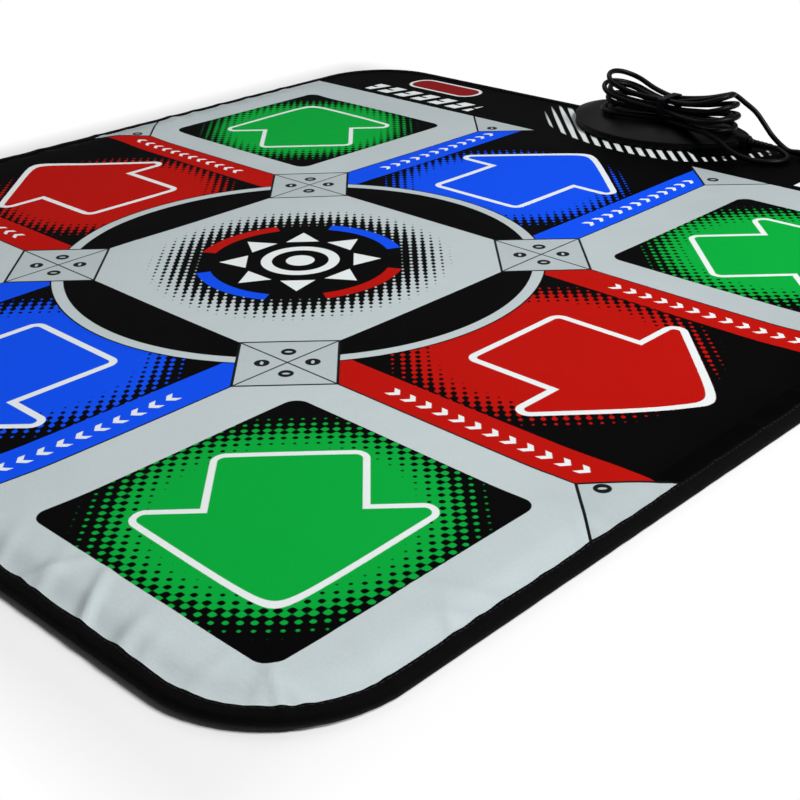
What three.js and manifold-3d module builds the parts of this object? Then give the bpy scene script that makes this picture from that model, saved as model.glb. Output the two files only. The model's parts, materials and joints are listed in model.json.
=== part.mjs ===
// A soft dance mat game controller, built as a stack of sheets with ten places that give when pressed.
// Millimetres. +X is the player's right, +Y points from the player to the control strip, +Z is up.
// The origin is on the floor under the middle of the mat.

import * as THREE from 'three'
import { mergeVertices } from 'three/addons/utils/BufferGeometryUtils.js'
import Module from 'manifold-3d'

// Whole mat, lying flat
const matWidth = 825
const matDepth = 897
const matCornerRadius = 80

// Sheets, from the floor up. The backing is as thick as the folded binding beside it, so the mat lies flat.
const bindingThickness = 0.8
const backingThickness = bindingThickness
const baseFoamThickness = 2.5
const lowerFilmThickness = 0.25
const spacerThickness = 2
const upperFilmThickness = 0.25
const coverThickness = 0.6

// Edge binding, a tape folded round the edge of all sheets
const bindingLap = 8.5
const bindingNose = 2.4
const bindingClearance = 0.4

// Printed field: nine cells, with a panel in the outer eight. Its middle lies nearer to the player's edge.
const stripDepth = 105
const fieldOffCentre = 2.5
const middleCellShare = 0.331
const bandWidth = 31
const ringBeyondCell = 1.1
const ringMargin = 3.5
const cornerPanelFromLineX = 42
const cornerPanelFromLineY = 30
const cornerPanelSideMargin = 49.5
const cornerPanelNearMargin = 42.5
const cornerPanelFarMargin = 47.5
const edgePanelMargin = 20.5
const stripMargin = 12
const panelCornerRadius = 10
const panelGap = 0.4

// Return foam under each panel: a perforated slab that gives and springs back
const foamGap = 1
const foamHoleRadius = 17
const foamHolePitch = 52
const foamHoleMargin = 8
const buttonHoleRadius = 9
const buttonHolePitch = 40

// Select and start buttons on the control strip
const buttonWidth = 94
const buttonDepth = 37
const buttonCornerRadius = 17
const buttonFromSide = 140.5
const buttonFromEdge = 37.5

// Control box: a low half-round housing whose flat back lies along the binding
const boxRadius = 104
const boxCentreBeyondEdge = 13.5
const boxBindingGap = 1
const boxSideTrim = 0.6
const boxBackCornerRadius = 10
const boxHeight = 15
const boxWall = 2
const boxSplitHeight = 6
const boxRimHeight = 7.5
const boxFlankWidth = 20
const boxShoulderWidth = 7
const boxShoulderDrop = 1.2
const boxSeamGap = 0.05

// Anchor plate in the base foam and the four screws that hold the box to it
const anchorInset = 6
const anchorClearance = 0.4
const anchorLift = 0.15
const screwRadius = 1.5
const screwHeadRadius = 3.2
const screwHeadHeight = 1.7
const screwLength = 16
const screwClearance = 0.4
const screwBiteClearance = 0.12
const bossRadius = 4
const bossGap = 0.3
const frontScrewInset = 20.5
const frontScrewDegrees = 24
const rearScrewInset = 16.8
const rearScrewDegrees = 53

// Circuit board between the screws, its chip, the film connector and the posts that carry the board
const boardFrontGap = 2.3
const boardSideGap = 12
const boardRearGap = 7
const boardThickness = 1.6
const boardPostRadius = 3
const boardPostInset = 6
const chipWidth = 16
const chipDepth = 12
const chipHeight = 2.2
const connectorWidth = 42
const connectorDepth = 6
const connectorHeight = 3.2
const connectorMouthHeight = 1

// Film tail: the flat circuit that rises from the lower film into the connector
const tailWidth = 36
const tailThickness = 0.4
const tailSlotWidth = 2.4
const tailFromBack = 8
const tailGap = 0.3

// Cord port, strain relief and the cord's inner end
const portFromBack = 14
const portRadius = 6.5
const portProtrusion = 3
const portDepth = 12
const portNoseLength = 22
const portAxisHeight = boxSplitHeight
const reliefNeckRadius = 3.4
const reliefFlangeRadius = 5
const reliefFlangeThickness = 2.4
const reliefCollarRadius = 5
const reliefCollarThickness = 2
const reliefTipRadius = 3.1
const reliefLength = 24
const reliefGrooveDepth = 0.8
const reliefGrooveCount = 4
const seatGap = 0.3
const innerLeadRadius = 1.5

// Cord and its hank. The turns spiral in and out between two folds, in four layers, tied at the waist.
const cordDiameter = 5
const hankCentreX = 20
const hankCentreY = -50.5
const hankRunLength = 100
const hankFoldRadius = 15
const hankWaistOffset = 4.5
const turnGap = 0.9
const layerGap = 0.6
const hankFanShare = 1.1
const hankRuns = 12
const runsPerLayer = 3
const hankRunShares = [1, 0.6, 0.1, -0.1, -0.6, -1]
const hankFoldSteps = 7
const hankSides = 6
const tieWidth = 8
const tieThickness = 1.2
const tieClearance = 0.3

// The cord's free stretches, as places from the floor under the box's centre
const leadRoute = [
  [137, -38.9, 11],
  [145.5, -43.9, 9.6],
  [150, -52, 9.3],
  [149.5, -61.5, 9.2],
  [143, -70, 9.2],
  [131, -75.3, 9.3],
  [117, -76.9, 10.8],
  [104, -76.7, 14.2],
  [92, -75.5, 20],
]
const tailRoute = [
  [89, -26.5, 44.8],
  [99, -25.1, 38.2],
  [108, -24.4, 29],
  [117.5, -24.9, 19.8],
  [128.5, -27.1, 13.4],
]

// Plug on the far end, lying on the strip
const plugX = 146
const plugFromBoxCentre = -33
const plugBootLength = 12
const plugBootRadius = 3.9
const plugBodyLength = 32
const plugBodyWidth = 15.8
const plugBodyHeight = 8.6
const plugBodyRadius = 2.6
const plugShellLength = 18.7
const plugShellWidth = 12
const plugShellHeight = 4.5
const plugShellWall = 0.5
const plugTongueHeight = 1.8
const plugTongueSetback = 1.2
const plugRestGap = 0.3

// Steps of the curved outlines, and the overrun of every cut
const cornerSteps = 8
const panelCornerSteps = 3
const panelArcSteps = 12
const boxArcSteps = 28
const boxTurnSteps = 72
const roundSteps = 16
const holeSteps = 10
const foamHoleSteps = 8
const cordSides = 8
const innerLeadSteps = 12
const leadSteps = 30
const tailSteps = 26
const nearestNeighbours = 8
const cutOverrun = 1
const samePlace = 0.001
const quarterTurn = Math.PI / 2

// Levels that follow from the sheets
const backingTop = backingThickness
const baseFoamTop = backingTop + baseFoamThickness
const lowerFilmTop = baseFoamTop + lowerFilmThickness
const spacerTop = lowerFilmTop + spacerThickness
const upperFilmTop = spacerTop + upperFilmThickness
const coverTop = upperFilmTop + coverThickness
const bindingTop = coverTop + bindingThickness

// Places that follow from the mat
const stripEdgeY = matDepth / 2
const laminateInset = bindingNose + bindingClearance
const fieldDepth = matDepth - stripDepth
const fieldFromNearEdge = fieldDepth / 2 - fieldOffCentre
const fieldFromStrip = fieldDepth - fieldFromNearEdge
const fieldCentreY = fieldFromNearEdge - matDepth / 2
const cellLine = (middleCellShare * Math.min(matWidth, fieldDepth)) / 2
const ringRadius = cellLine * Math.SQRT2 + ringBeyondCell
const ringReach = ringRadius + ringMargin
const edgePanelHalf = cellLine - bandWidth
const sideReach = matWidth / 2 - edgePanelMargin
const nearReach = fieldFromNearEdge - edgePanelMargin
const farReach = fieldFromStrip - stripMargin
const cornerPanelLeft = cellLine + cornerPanelFromLineX
const cornerPanelRight = matWidth / 2 - cornerPanelSideMargin
const cornerPanelInner = cellLine + cornerPanelFromLineY
const cornerPanelNear = fieldFromNearEdge - cornerPanelNearMargin
const cornerPanelFar = fieldFromStrip - cornerPanelFarMargin
const boxCentreY = stripEdgeY + boxCentreBeyondEdge
const boxBackY = -(boxCentreBeyondEdge + bindingLap + boxBindingGap)
const boxHalfWidth = Math.sqrt(boxRadius ** 2 - (boxBackY - boxBackCornerRadius) ** 2) - boxSideTrim
const boxTop = coverTop + boxHeight
const portY = boxBackY - portFromBack
const tailY = boxBackY - tailFromBack
const screwTipHeight = backingTop + anchorLift + screwLength - coverTop

/** A screw's place on the right side, about the box's centre, by its turn from the front. */
function screwAt(inset, degrees) {
  const angle = THREE.MathUtils.degToRad(degrees)
  return [(boxRadius - inset) * Math.sin(angle), -(boxRadius - inset) * Math.cos(angle)]
}

const [frontScrewX, frontScrewY] = screwAt(frontScrewInset, frontScrewDegrees)
const [rearScrewX, rearScrewY] = screwAt(rearScrewInset, rearScrewDegrees)
const boardWidth = 2 * (rearScrewX - bossRadius - boardSideGap)
const boardRearY = tailY - boardRearGap
const boardFrontY = frontScrewY + bossRadius + boardFrontGap
const boardDepth = boardRearY - boardFrontY
const boardCentreY = (boardRearY + boardFrontY) / 2
const boardBottom = coverTop + boxSplitHeight
const boardTop = boardBottom + boardThickness
const chipX = -(connectorWidth + boardWidth) / 4
const plugY = boxCentreY + plugFromBoxCentre

const wasm = await Module()
wasm.setup()

const finishes = {
  print: new THREE.MeshStandardMaterial({ color: 0x9aa6a4, roughness: 0.38, metalness: 0.1 }),
  green: new THREE.MeshStandardMaterial({ color: 0x10b242, roughness: 0.38 }),
  red: new THREE.MeshStandardMaterial({ color: 0xd41c10, roughness: 0.38 }),
  blue: new THREE.MeshStandardMaterial({ color: 0x1256fa, roughness: 0.38 }),
  darkRed: new THREE.MeshStandardMaterial({ color: 0x8f1418, roughness: 0.38 }),
  binding: new THREE.MeshStandardMaterial({ color: 0x060606, roughness: 0.85 }),
  backing: new THREE.MeshStandardMaterial({ color: 0x3a3b2e, roughness: 0.9 }),
  foam: new THREE.MeshStandardMaterial({ color: 0x4a4a4c, roughness: 0.95 }),
  film: new THREE.MeshStandardMaterial({ color: 0xc9ccc4, roughness: 0.25 }),
  contact: new THREE.MeshStandardMaterial({ color: 0x30343a, roughness: 0.5 }),
  housing: new THREE.MeshStandardMaterial({ color: 0x0b0b0c, roughness: 0.42 }),
  plate: new THREE.MeshStandardMaterial({ color: 0x1b1b1d, roughness: 0.6 }),
  board: new THREE.MeshStandardMaterial({ color: 0x0f5a2c, roughness: 0.45 }),
  chip: new THREE.MeshStandardMaterial({ color: 0x111111, roughness: 0.5 }),
  connector: new THREE.MeshStandardMaterial({ color: 0xe6e2d2, roughness: 0.5 }),
  steel: new THREE.MeshStandardMaterial({ color: 0xb8bcc0, roughness: 0.3, metalness: 1 }),
  cord: new THREE.MeshStandardMaterial({ color: 0x080808, roughness: 0.5 }),
}

const part = new THREE.Group()

/** Adds one named piece to a group, at a place in that group. */
function addPiece(group, name, geometry, finish, x = 0, y = 0, z = 0) {
  const mesh = new THREE.Mesh(geometry, finish)
  mesh.name = name
  mesh.position.set(x, y, z)
  group.add(mesh)
  return mesh
}

/** Points of an arc, both ends included. */
function arc(centreX, centreY, radius, from, to, steps) {
  return Array.from({ length: steps + 1 }, (_, i) => {
    const angle = from + ((to - from) * i) / steps
    return new THREE.Vector2(centreX + radius * Math.cos(angle), centreY + radius * Math.sin(angle))
  })
}

/** A rectangle with round corners about its own middle, anticlockwise. */
function roundedRectangle(width, depth, radius, steps) {
  const x = width / 2 - radius
  const y = depth / 2 - radius
  return [
    ...arc(x, y, radius, 0, quarterTurn, steps),
    ...arc(-x, y, radius, quarterTurn, 2 * quarterTurn, steps),
    ...arc(-x, -y, radius, 2 * quarterTurn, 3 * quarterTurn, steps),
    ...arc(x, -y, radius, 3 * quarterTurn, 4 * quarterTurn, steps),
  ]
}

/** A circle as points, without repeating the first. */
function circle(x, y, radius, steps) {
  return arc(x, y, radius, 0, 2 * Math.PI, steps).slice(0, -1)
}

/** Points without those that repeat the one before. */
function distinct(points) {
  return points.filter((p, i) => p.distanceTo(points.at(i - 1)) > samePlace)
}

/** Points turned about the origin and then moved. */
function placed(points, turn, x, y) {
  const middle = new THREE.Vector2()
  return points.map((p) => p.clone().rotateAround(middle, turn).add(new THREE.Vector2(x, y)))
}

/** A flat sheet of one thickness, standing on z = 0, with holes. */
function sheet(outline, holes, thickness) {
  const shape = new THREE.Shape(outline)
  shape.holes = holes.map((hole) => new THREE.Path(hole))
  return new THREE.ExtrudeGeometry(shape, { depth: thickness, bevelEnabled: false })
}

/** Turns a solid extruded along Z, with its outline in Y and Z, so that it runs along X. */
function alongX(geometry) {
  const [x, y, z] = [new THREE.Vector3(1, 0, 0), new THREE.Vector3(0, 1, 0), new THREE.Vector3(0, 0, 1)]
  return geometry.applyMatrix4(new THREE.Matrix4().makeBasis(y, z, x))
}

/** A turned solid on the X axis from [radius, x] pairs. */
function turnedAlongX(pairs, steps) {
  return new THREE.LatheGeometry(pairs.map(([r, x]) => new THREE.Vector2(r, x)), steps).rotateZ(-quarterTurn)
}

/** A turned solid on the Z axis from [radius, z] pairs. */
function turnedAlongZ(pairs, steps) {
  return new THREE.LatheGeometry(pairs.map(([r, z]) => new THREE.Vector2(r, z)), steps).rotateX(quarterTurn)
}

/** A solid that the cutting library can join and cut. */
function toSolid(geometry) {
  const bare = geometry.clone()
  for (const extra of ['normal', 'uv']) bare.deleteAttribute(extra)
  const merged = mergeVertices(bare)
  const mesh = new wasm.Mesh({
    numProp: 3,
    vertProperties: new Float32Array(merged.attributes.position.array),
    triVerts: new Uint32Array(merged.index.array),
  })
  return new wasm.Manifold(mesh)
}

/** The cutting library's solid as a geometry. */
function toGeometry(solid) {
  const mesh = solid.getMesh()
  const geometry = new THREE.BufferGeometry()
  geometry.setAttribute('position', new THREE.BufferAttribute(new Float32Array(mesh.vertProperties), 3))
  geometry.setIndex(new THREE.BufferAttribute(new Uint32Array(mesh.triVerts), 1))
  geometry.computeVertexNormals()
  return geometry
}

/** A closed skin over rings of equally many points. Open ends get a flat cap, a loop of rings gets none. */
function skin(rings, closedLoop) {
  const size = rings[0].length
  const geometry = new THREE.BufferGeometry()
  const index = []
  const last = closedLoop ? rings.length : rings.length - 1
  for (let i = 0; i < last; i++) {
    for (let j = 0; j < size; j++) {
      const a = i * size + j
      const b = i * size + ((j + 1) % size)
      const c = ((i + 1) % rings.length) * size + ((j + 1) % size)
      const d = ((i + 1) % rings.length) * size + j
      index.push(a, b, c, a, c, d)
    }
  }
  if (!closedLoop) {
    const end = (rings.length - 1) * size
    for (let j = 1; j < size - 1; j++) index.push(0, j + 1, j, end, end + j, end + j + 1)
  }
  const places = rings.flat().flatMap((p) => p.toArray())
  geometry.setAttribute('position', new THREE.Float32BufferAttribute(places, 3))
  geometry.setIndex(index)
  geometry.computeVertexNormals()
  return geometry
}

// Outlines

/** The mat's outline, moved in from its edge. */
const matOutline = (inset) =>
  roundedRectangle(matWidth - 2 * inset, matDepth - 2 * inset, matCornerRadius - inset, cornerSteps)

/** A corner panel of a given depth about its own middle. */
function cornerPanel(inset, depth) {
  const width = cornerPanelRight - cornerPanelLeft
  return roundedRectangle(width - 2 * inset, depth - 2 * inset, panelCornerRadius - inset, panelCornerSteps)
}

/** An edge panel above the ring, out to a reach: straight bands at its sides, the ring's arc below. */
function edgePanel(inset, reach) {
  const half = edgePanelHalf - inset
  const innerRadius = ringReach + inset
  const top = reach - inset
  const corner = panelCornerRadius - inset
  const slant = Math.acos(half / innerRadius)
  return [
    ...arc(half - corner, top - corner, corner, 0, quarterTurn, panelCornerSteps),
    ...arc(corner - half, top - corner, corner, quarterTurn, Math.PI, panelCornerSteps),
    ...arc(0, 0, innerRadius, Math.PI - slant, slant, panelArcSteps),
  ]
}

/** A select or start button about its own middle. */
function buttonPanel(inset) {
  const [width, depth] = [buttonWidth - 2 * inset, buttonDepth - 2 * inset]
  return roundedRectangle(width, depth, buttonCornerRadius - inset, panelCornerSteps)
}

/** The box's outline from above, about the centre of its round front, moved in from its walls. */
function boxOutline(inset) {
  const radius = boxRadius - inset
  const back = boxBackY - inset
  const corner = Math.max(boxBackCornerRadius - inset, boxWall)
  const half = Math.min(boxHalfWidth - inset, Math.sqrt(radius ** 2 - (back - corner) ** 2))
  const slant = Math.acos(half / radius)
  return distinct([
    ...arc(0, 0, radius, Math.PI + slant, 2 * Math.PI - slant, boxArcSteps),
    ...arc(half - corner, back - corner, corner, 0, quarterTurn, panelCornerSteps),
    ...arc(corner - half, back - corner, corner, quarterTurn, Math.PI, panelCornerSteps),
  ])
}

// Panels: four round the ring by quarter turns, four in the corner cells, and two buttons on the strip

/** Places of holes of one radius and pitch, centred between two ends with a margin kept at each. */
function spread(low, high, radius, pitch) {
  const room = high - low - 2 * (radius + foamHoleMargin)
  const count = Math.max(1, Math.floor(room / pitch) + 1)
  return Array.from({ length: count }, (_, i) => (low + high + (2 * i + 1 - count) * pitch) / 2)
}

/** Hole centres in rows that fill a rectangle. */
function holeGrid(half, low, high, radius, pitch) {
  const rows = spread(low, high, radius, pitch)
  return spread(-half, half, radius, pitch).flatMap((x) => rows.map((y) => [x, y]))
}

/** The form of an edge panel that goes out to a reach, and its foam's holes. */
const edgeKind = (reach) => ({
  outline: (inset) => edgePanel(inset, reach),
  holes: holeGrid(edgePanelHalf, ringReach, reach, foamHoleRadius, foamHolePitch),
  holeRadius: foamHoleRadius,
})

/** The form of a corner panel of a given depth, and its foam's holes. */
function cornerKind(depth) {
  const half = (cornerPanelRight - cornerPanelLeft) / 2
  return {
    outline: (inset) => cornerPanel(inset, depth),
    holes: holeGrid(half, -depth / 2, depth / 2, foamHoleRadius, foamHolePitch),
    holeRadius: foamHoleRadius,
  }
}
const buttonKind = {
  outline: buttonPanel,
  holes: holeGrid(buttonWidth / 2, -buttonDepth / 2, buttonDepth / 2, buttonHoleRadius, buttonHolePitch),
  holeRadius: buttonHoleRadius,
}

/** One panel's name, form, quarter turns, place and colour. */
const panelAt = (name, kind, turns, x, y, finish) => ({ name, kind, turns, x, y, finish })

const cornerX = (cornerPanelLeft + cornerPanelRight) / 2
const farCells = fieldCentreY + (cornerPanelInner + cornerPanelFar) / 2
const nearCells = fieldCentreY - (cornerPanelInner + cornerPanelNear) / 2
const farKind = cornerKind(cornerPanelFar - cornerPanelInner)
const nearKind = cornerKind(cornerPanelNear - cornerPanelInner)
const buttonX = matWidth / 2 - buttonFromSide
const buttonY = stripEdgeY - buttonFromEdge
const panels = [
  panelAt('up', edgeKind(farReach), 0, 0, fieldCentreY, finishes.blue),
  panelAt('left', edgeKind(sideReach), 1, 0, fieldCentreY, finishes.red),
  panelAt('down', edgeKind(nearReach), 2, 0, fieldCentreY, finishes.blue),
  panelAt('right', edgeKind(sideReach), 3, 0, fieldCentreY, finishes.red),
  panelAt('up_right', farKind, 0, cornerX, farCells, finishes.green),
  panelAt('up_left', farKind, 0, -cornerX, farCells, finishes.green),
  panelAt('down_left', nearKind, 0, -cornerX, nearCells, finishes.green),
  panelAt('down_right', nearKind, 0, cornerX, nearCells, finishes.green),
  panelAt('select', buttonKind, 0, -buttonX, buttonY, finishes.darkRed),
  panelAt('start', buttonKind, 0, buttonX, buttonY, finishes.darkRed),
]

/** The windows that a sheet needs, one for each panel. */
const windows = panels.map(({ kind, turns, x, y }) => placed(kind.outline(0), turns * quarterTurn, x, y))

// Holes that the box's screws and the film tail need in the sheets

const screwPlaces = [
  [-frontScrewX, frontScrewY],
  [frontScrewX, frontScrewY],
  [rearScrewX, rearScrewY],
  [-rearScrewX, rearScrewY],
]

/** Screw clearance holes, about the box's centre. */
const screwHoles = screwPlaces.map(([x, y]) => circle(x, y, screwRadius + screwClearance, holeSteps))

/** The slot for the film tail, about the box's centre. */
const tailSlot = placed(
  [
    new THREE.Vector2(tailWidth / 2 + tailSlotWidth / 2, tailSlotWidth / 2),
    new THREE.Vector2(-tailWidth / 2 - tailSlotWidth / 2, tailSlotWidth / 2),
    new THREE.Vector2(-tailWidth / 2 - tailSlotWidth / 2, -tailSlotWidth / 2),
    new THREE.Vector2(tailWidth / 2 + tailSlotWidth / 2, -tailSlotWidth / 2),
  ],
  0, 0, tailY,
)
const stripScrewHoles = screwHoles.map((hole) => placed(hole, 0, 0, boxCentreY))
const stripTailSlot = placed(tailSlot, 0, 0, boxCentreY)

/** The stack of full sheets, from the floor up. */
function addSheets() {
  const anchorHole = placed(boxOutline(anchorInset - anchorClearance), 0, 0, boxCentreY)
  const backing = sheet(matOutline(bindingLap + bindingClearance), [], backingThickness)
  addPiece(part, 'backing_sheet', backing, finishes.backing)
  const base = sheet(matOutline(laminateInset), [anchorHole], baseFoamThickness)
  addPiece(part, 'foam_base', base, finishes.foam, 0, 0, backingTop)
  const lower = sheet(matOutline(laminateInset), stripScrewHoles, lowerFilmThickness)
  addPiece(part, 'lower_contact_film', lower, finishes.film, 0, 0, baseFoamTop)
  const openings = [...windows, ...stripScrewHoles, stripTailSlot]
  const spacer = sheet(matOutline(laminateInset), openings, spacerThickness)
  addPiece(part, 'spacer_foam', spacer, finishes.foam, 0, 0, lowerFilmTop)
  const upper = sheet(matOutline(laminateInset), openings, upperFilmThickness)
  addPiece(part, 'upper_contact_film', upper, finishes.film, 0, 0, spacerTop)
  const cover = sheet(matOutline(laminateInset), openings, coverThickness)
  addPiece(part, 'top_cover', cover, finishes.print, 0, 0, upperFilmTop)
}

/** The binding: a folded tape with a round nose, carried round the mat's outline. */
function addBinding() {
  const middle = bindingTop / 2
  const nose = arc(0, 0, 1, -quarterTurn, quarterTurn, cornerSteps).map((p) => [
    bindingNose * (1 - p.x),
    middle * (1 + p.y),
  ])
  const profile = [
    ...nose,
    [bindingLap, bindingTop],
    [bindingLap, coverTop],
    [bindingNose, coverTop],
    [bindingNose, bindingThickness],
    [bindingLap, bindingThickness],
    [bindingLap, 0],
  ]
  const rings = profile.map(([inset, z]) => matOutline(inset).map((p) => new THREE.Vector3(p.x, p.y, z)))
  addPiece(part, 'edge_binding', skin(rings, true), finishes.binding)
}

/** One panel: its piece of the cover with its own contact under it, and the foam that returns it. */
function addPanel({ name, kind, turns, x, y, finish }) {
  const holder = new THREE.Group()
  holder.position.set(x, y, 0)
  holder.rotation.z = turns * quarterTurn
  part.add(holder)
  const outline = kind.outline(panelGap)
  addPiece(holder, `${name}_panel`, sheet(outline, [], coverThickness), finish, 0, 0, upperFilmTop)
  const contact = sheet(outline, [], upperFilmThickness)
  addPiece(holder, `${name}_contact`, contact, finishes.contact, 0, 0, spacerTop)
  const holes = kind.holes.map((middle) => circle(...middle, kind.holeRadius, foamHoleSteps))
  const foam = sheet(kind.outline(foamGap), holes, spacerThickness)
  addPiece(holder, `${name}_return_foam`, foam, finishes.foam, 0, 0, lowerFilmTop)
}

/** The anchor plate that the screws pull on, flush in the base foam. */
function addAnchorPlate() {
  let solid = toSolid(sheet(boxOutline(anchorInset), [], baseFoamThickness))
  for (const [x, y] of screwPlaces) {
    const hole = turnedAlongZ(
      [
        [0, -cutOverrun],
        [screwHeadRadius + screwClearance, -cutOverrun],
        [screwHeadRadius + screwClearance, anchorLift],
        [screwRadius + screwClearance, screwHeadHeight + anchorLift],
        [screwRadius + screwClearance, baseFoamThickness + cutOverrun],
        [0, baseFoamThickness + cutOverrun],
      ],
      roundSteps,
    )
    solid = solid.subtract(toSolid(hole.translate(x, y, 0)))
  }
  addPiece(part, 'anchor_plate', toGeometry(solid), finishes.plate, 0, boxCentreY, backingTop)
}

/** Four countersunk screws, from the anchor plate up into the box's bosses. */
function addScrews() {
  const screw = turnedAlongZ(
    [
      [0, 0],
      [screwHeadRadius, 0],
      [screwRadius, screwHeadHeight],
      [screwRadius, screwLength - screwRadius],
      [0, screwLength],
    ],
    holeSteps,
  )
  const foot = backingTop + anchorLift
  screwPlaces.forEach(([x, y], i) => {
    addPiece(part, `box_screw_${i + 1}`, screw.clone(), finishes.steel, x, boxCentreY + y, foot)
  })
}

/** The port's bore: room for the relief's neck, and behind it for its flange. */
function portBore() {
  const wallEnd = boxHalfWidth + portProtrusion
  const neckStart = wallEnd - portDepth + reliefFlangeThickness + 2 * seatGap
  const bore = turnedAlongX(
    [
      [0, wallEnd - 2 * portDepth],
      [reliefFlangeRadius + seatGap, wallEnd - 2 * portDepth],
      [reliefFlangeRadius + seatGap, neckStart],
      [reliefNeckRadius + seatGap, neckStart],
      [reliefNeckRadius + seatGap, wallEnd + cutOverrun],
      [0, wallEnd + cutOverrun],
    ],
    roundSteps,
  )
  return toSolid(bore.translate(0, portY, portAxisHeight))
}

/** The port's nose, a block with a round top that runs out of the flank and holds the strain relief. */
function portNose() {
  const outline = [
    ...arc(portY, portAxisHeight, portRadius, 0, Math.PI, roundSteps / 2),
    new THREE.Vector2(portY - portRadius, 0),
    new THREE.Vector2(portY + portRadius, 0),
  ]
  const nose = alongX(sheet(outline, [], portNoseLength))
  return toSolid(nose.translate(boxHalfWidth + portProtrusion - portNoseLength, 0, 0))
}

/** A block of the box's whole plan between two levels. */
const boxSlab = (inset, from, to) => toSolid(sheet(boxOutline(inset), [], to - from).translate(0, 0, from))

/** A wide block between two levels, for keeping one side of the box's split. */
function levelBlock(from, to) {
  const side = 4 * boxRadius
  return toSolid(new THREE.BoxGeometry(side, side, to - from).translate(0, 0, (from + to) / 2))
}

/** The lower shell: floor, wall, board posts, port and the holes for screws and film tail. */
function addBoxBase() {
  let solid = boxSlab(0, 0, boxSplitHeight).subtract(boxSlab(boxWall, boxWall, boxSplitHeight + cutOverrun))
  const postX = boardWidth / 2 - boardPostInset
  const postY = boardDepth / 2 - boardPostInset
  for (const x of [-postX, postX]) {
    for (const y of [boardCentreY - postY, boardCentreY + postY]) {
      const post = turnedAlongZ(
        [
          [0, boxWall / 2],
          [boardPostRadius, boxWall / 2],
          [boardPostRadius, boxSplitHeight],
          [0, boxSplitHeight],
        ],
        holeSteps,
      )
      solid = solid.add(toSolid(post.translate(x, y, 0)))
    }
  }
  solid = solid.add(portNose().intersect(levelBlock(-cutOverrun, boxSplitHeight))).subtract(portBore())
  for (const hole of [...screwHoles, tailSlot]) {
    solid = solid.subtract(toSolid(sheet(hole, [], 2 * boxWall).translate(0, 0, -boxWall / 2)))
  }
  addPiece(part, 'box_base', toGeometry(solid), finishes.housing, 0, boxCentreY, coverTop)
}

/** The turned form that gives the box its sloping flank and round shoulder, lowered by a wall. */
function boxDome(drop) {
  const slope = (boxHeight - boxShoulderDrop - boxRimHeight) / boxFlankWidth
  const shoulder = boxRadius - boxFlankWidth
  const outside = boxRadius + boxFlankWidth
  const shoulderTop = boxHeight - boxShoulderDrop
  return toSolid(
    turnedAlongZ(
      [
        [0, -boxHeight],
        [outside, -boxHeight],
        [outside, shoulderTop - slope * (outside - shoulder) - drop],
        [shoulder, shoulderTop - drop],
        [shoulder - boxShoulderWidth / 2, boxHeight - boxShoulderDrop / 4 - drop],
        [shoulder - boxShoulderWidth, boxHeight - drop],
        [0, boxHeight - drop],
      ],
      boxTurnSteps,
    ),
  )
}

/** The upper shell: sloping flank, flat top, bosses for the screws and the port's upper half. */
function addBoxCover() {
  const seam = boxSplitHeight + boxSeamGap
  const above = levelBlock(seam, 2 * boxHeight)
  const outer = boxSlab(0, seam, 2 * boxHeight).intersect(boxDome(0))
  const inner = boxSlab(boxWall, 0, 2 * boxHeight).intersect(boxDome(boxWall))
  let bosses = null
  for (const [x, y] of screwPlaces) {
    const boss = toSolid(
      turnedAlongZ(
        [[0, boxWall + bossGap], [bossRadius, boxWall + bossGap], [bossRadius, boxHeight], [0, boxHeight]],
        roundSteps,
      ).translate(x, y, 0),
    )
    bosses = bosses ? bosses.add(boss) : boss
  }
  let solid = outer.subtract(inner)
  solid = solid.add(portNose().intersect(above)).subtract(portBore())
  solid = solid.add(bosses.intersect(boxDome(boxWall / 2)))
  for (const [x, y] of screwPlaces) {
    const bore = turnedAlongZ(
      [
        [0, 0],
        [screwRadius + screwBiteClearance, 0],
        [screwRadius + screwBiteClearance, screwTipHeight + bossGap - screwRadius],
        [0, screwTipHeight + bossGap],
      ],
      holeSteps,
    )
    solid = solid.subtract(toSolid(bore.translate(x, y, 0)))
  }
  addPiece(part, 'box_cover', toGeometry(solid), finishes.housing, 0, boxCentreY, coverTop)
}

/** The circuit board on its posts, with its chip and the connector for the film tail. */
function addElectronics() {
  const y = boxCentreY + boardCentreY
  const board = new THREE.BoxGeometry(boardWidth, boardDepth, boardThickness)
  addPiece(part, 'circuit_board', board, finishes.board, 0, y, boardBottom + boardThickness / 2)
  const chip = new THREE.BoxGeometry(chipWidth, chipDepth, chipHeight)
  addPiece(part, 'controller_chip', chip, finishes.chip, chipX, y, boardTop + chipHeight / 2)
  const rear = boardDepth / 2 - connectorDepth
  const mouth = (connectorHeight - connectorMouthHeight) / 2
  const body = alongX(
    sheet(
      [
        new THREE.Vector2(rear, 0),
        new THREE.Vector2(rear + connectorDepth, 0),
        new THREE.Vector2(rear + connectorDepth, mouth),
        new THREE.Vector2(rear + connectorDepth / 2, mouth),
        new THREE.Vector2(rear + connectorDepth / 2, connectorHeight - mouth),
        new THREE.Vector2(rear + connectorDepth, connectorHeight - mouth),
        new THREE.Vector2(rear + connectorDepth, connectorHeight),
        new THREE.Vector2(rear, connectorHeight),
      ],
      [], connectorWidth,
    ),
  )
  addPiece(part, 'film_connector', body, finishes.connector, -connectorWidth / 2, y, boardTop)
}

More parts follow.
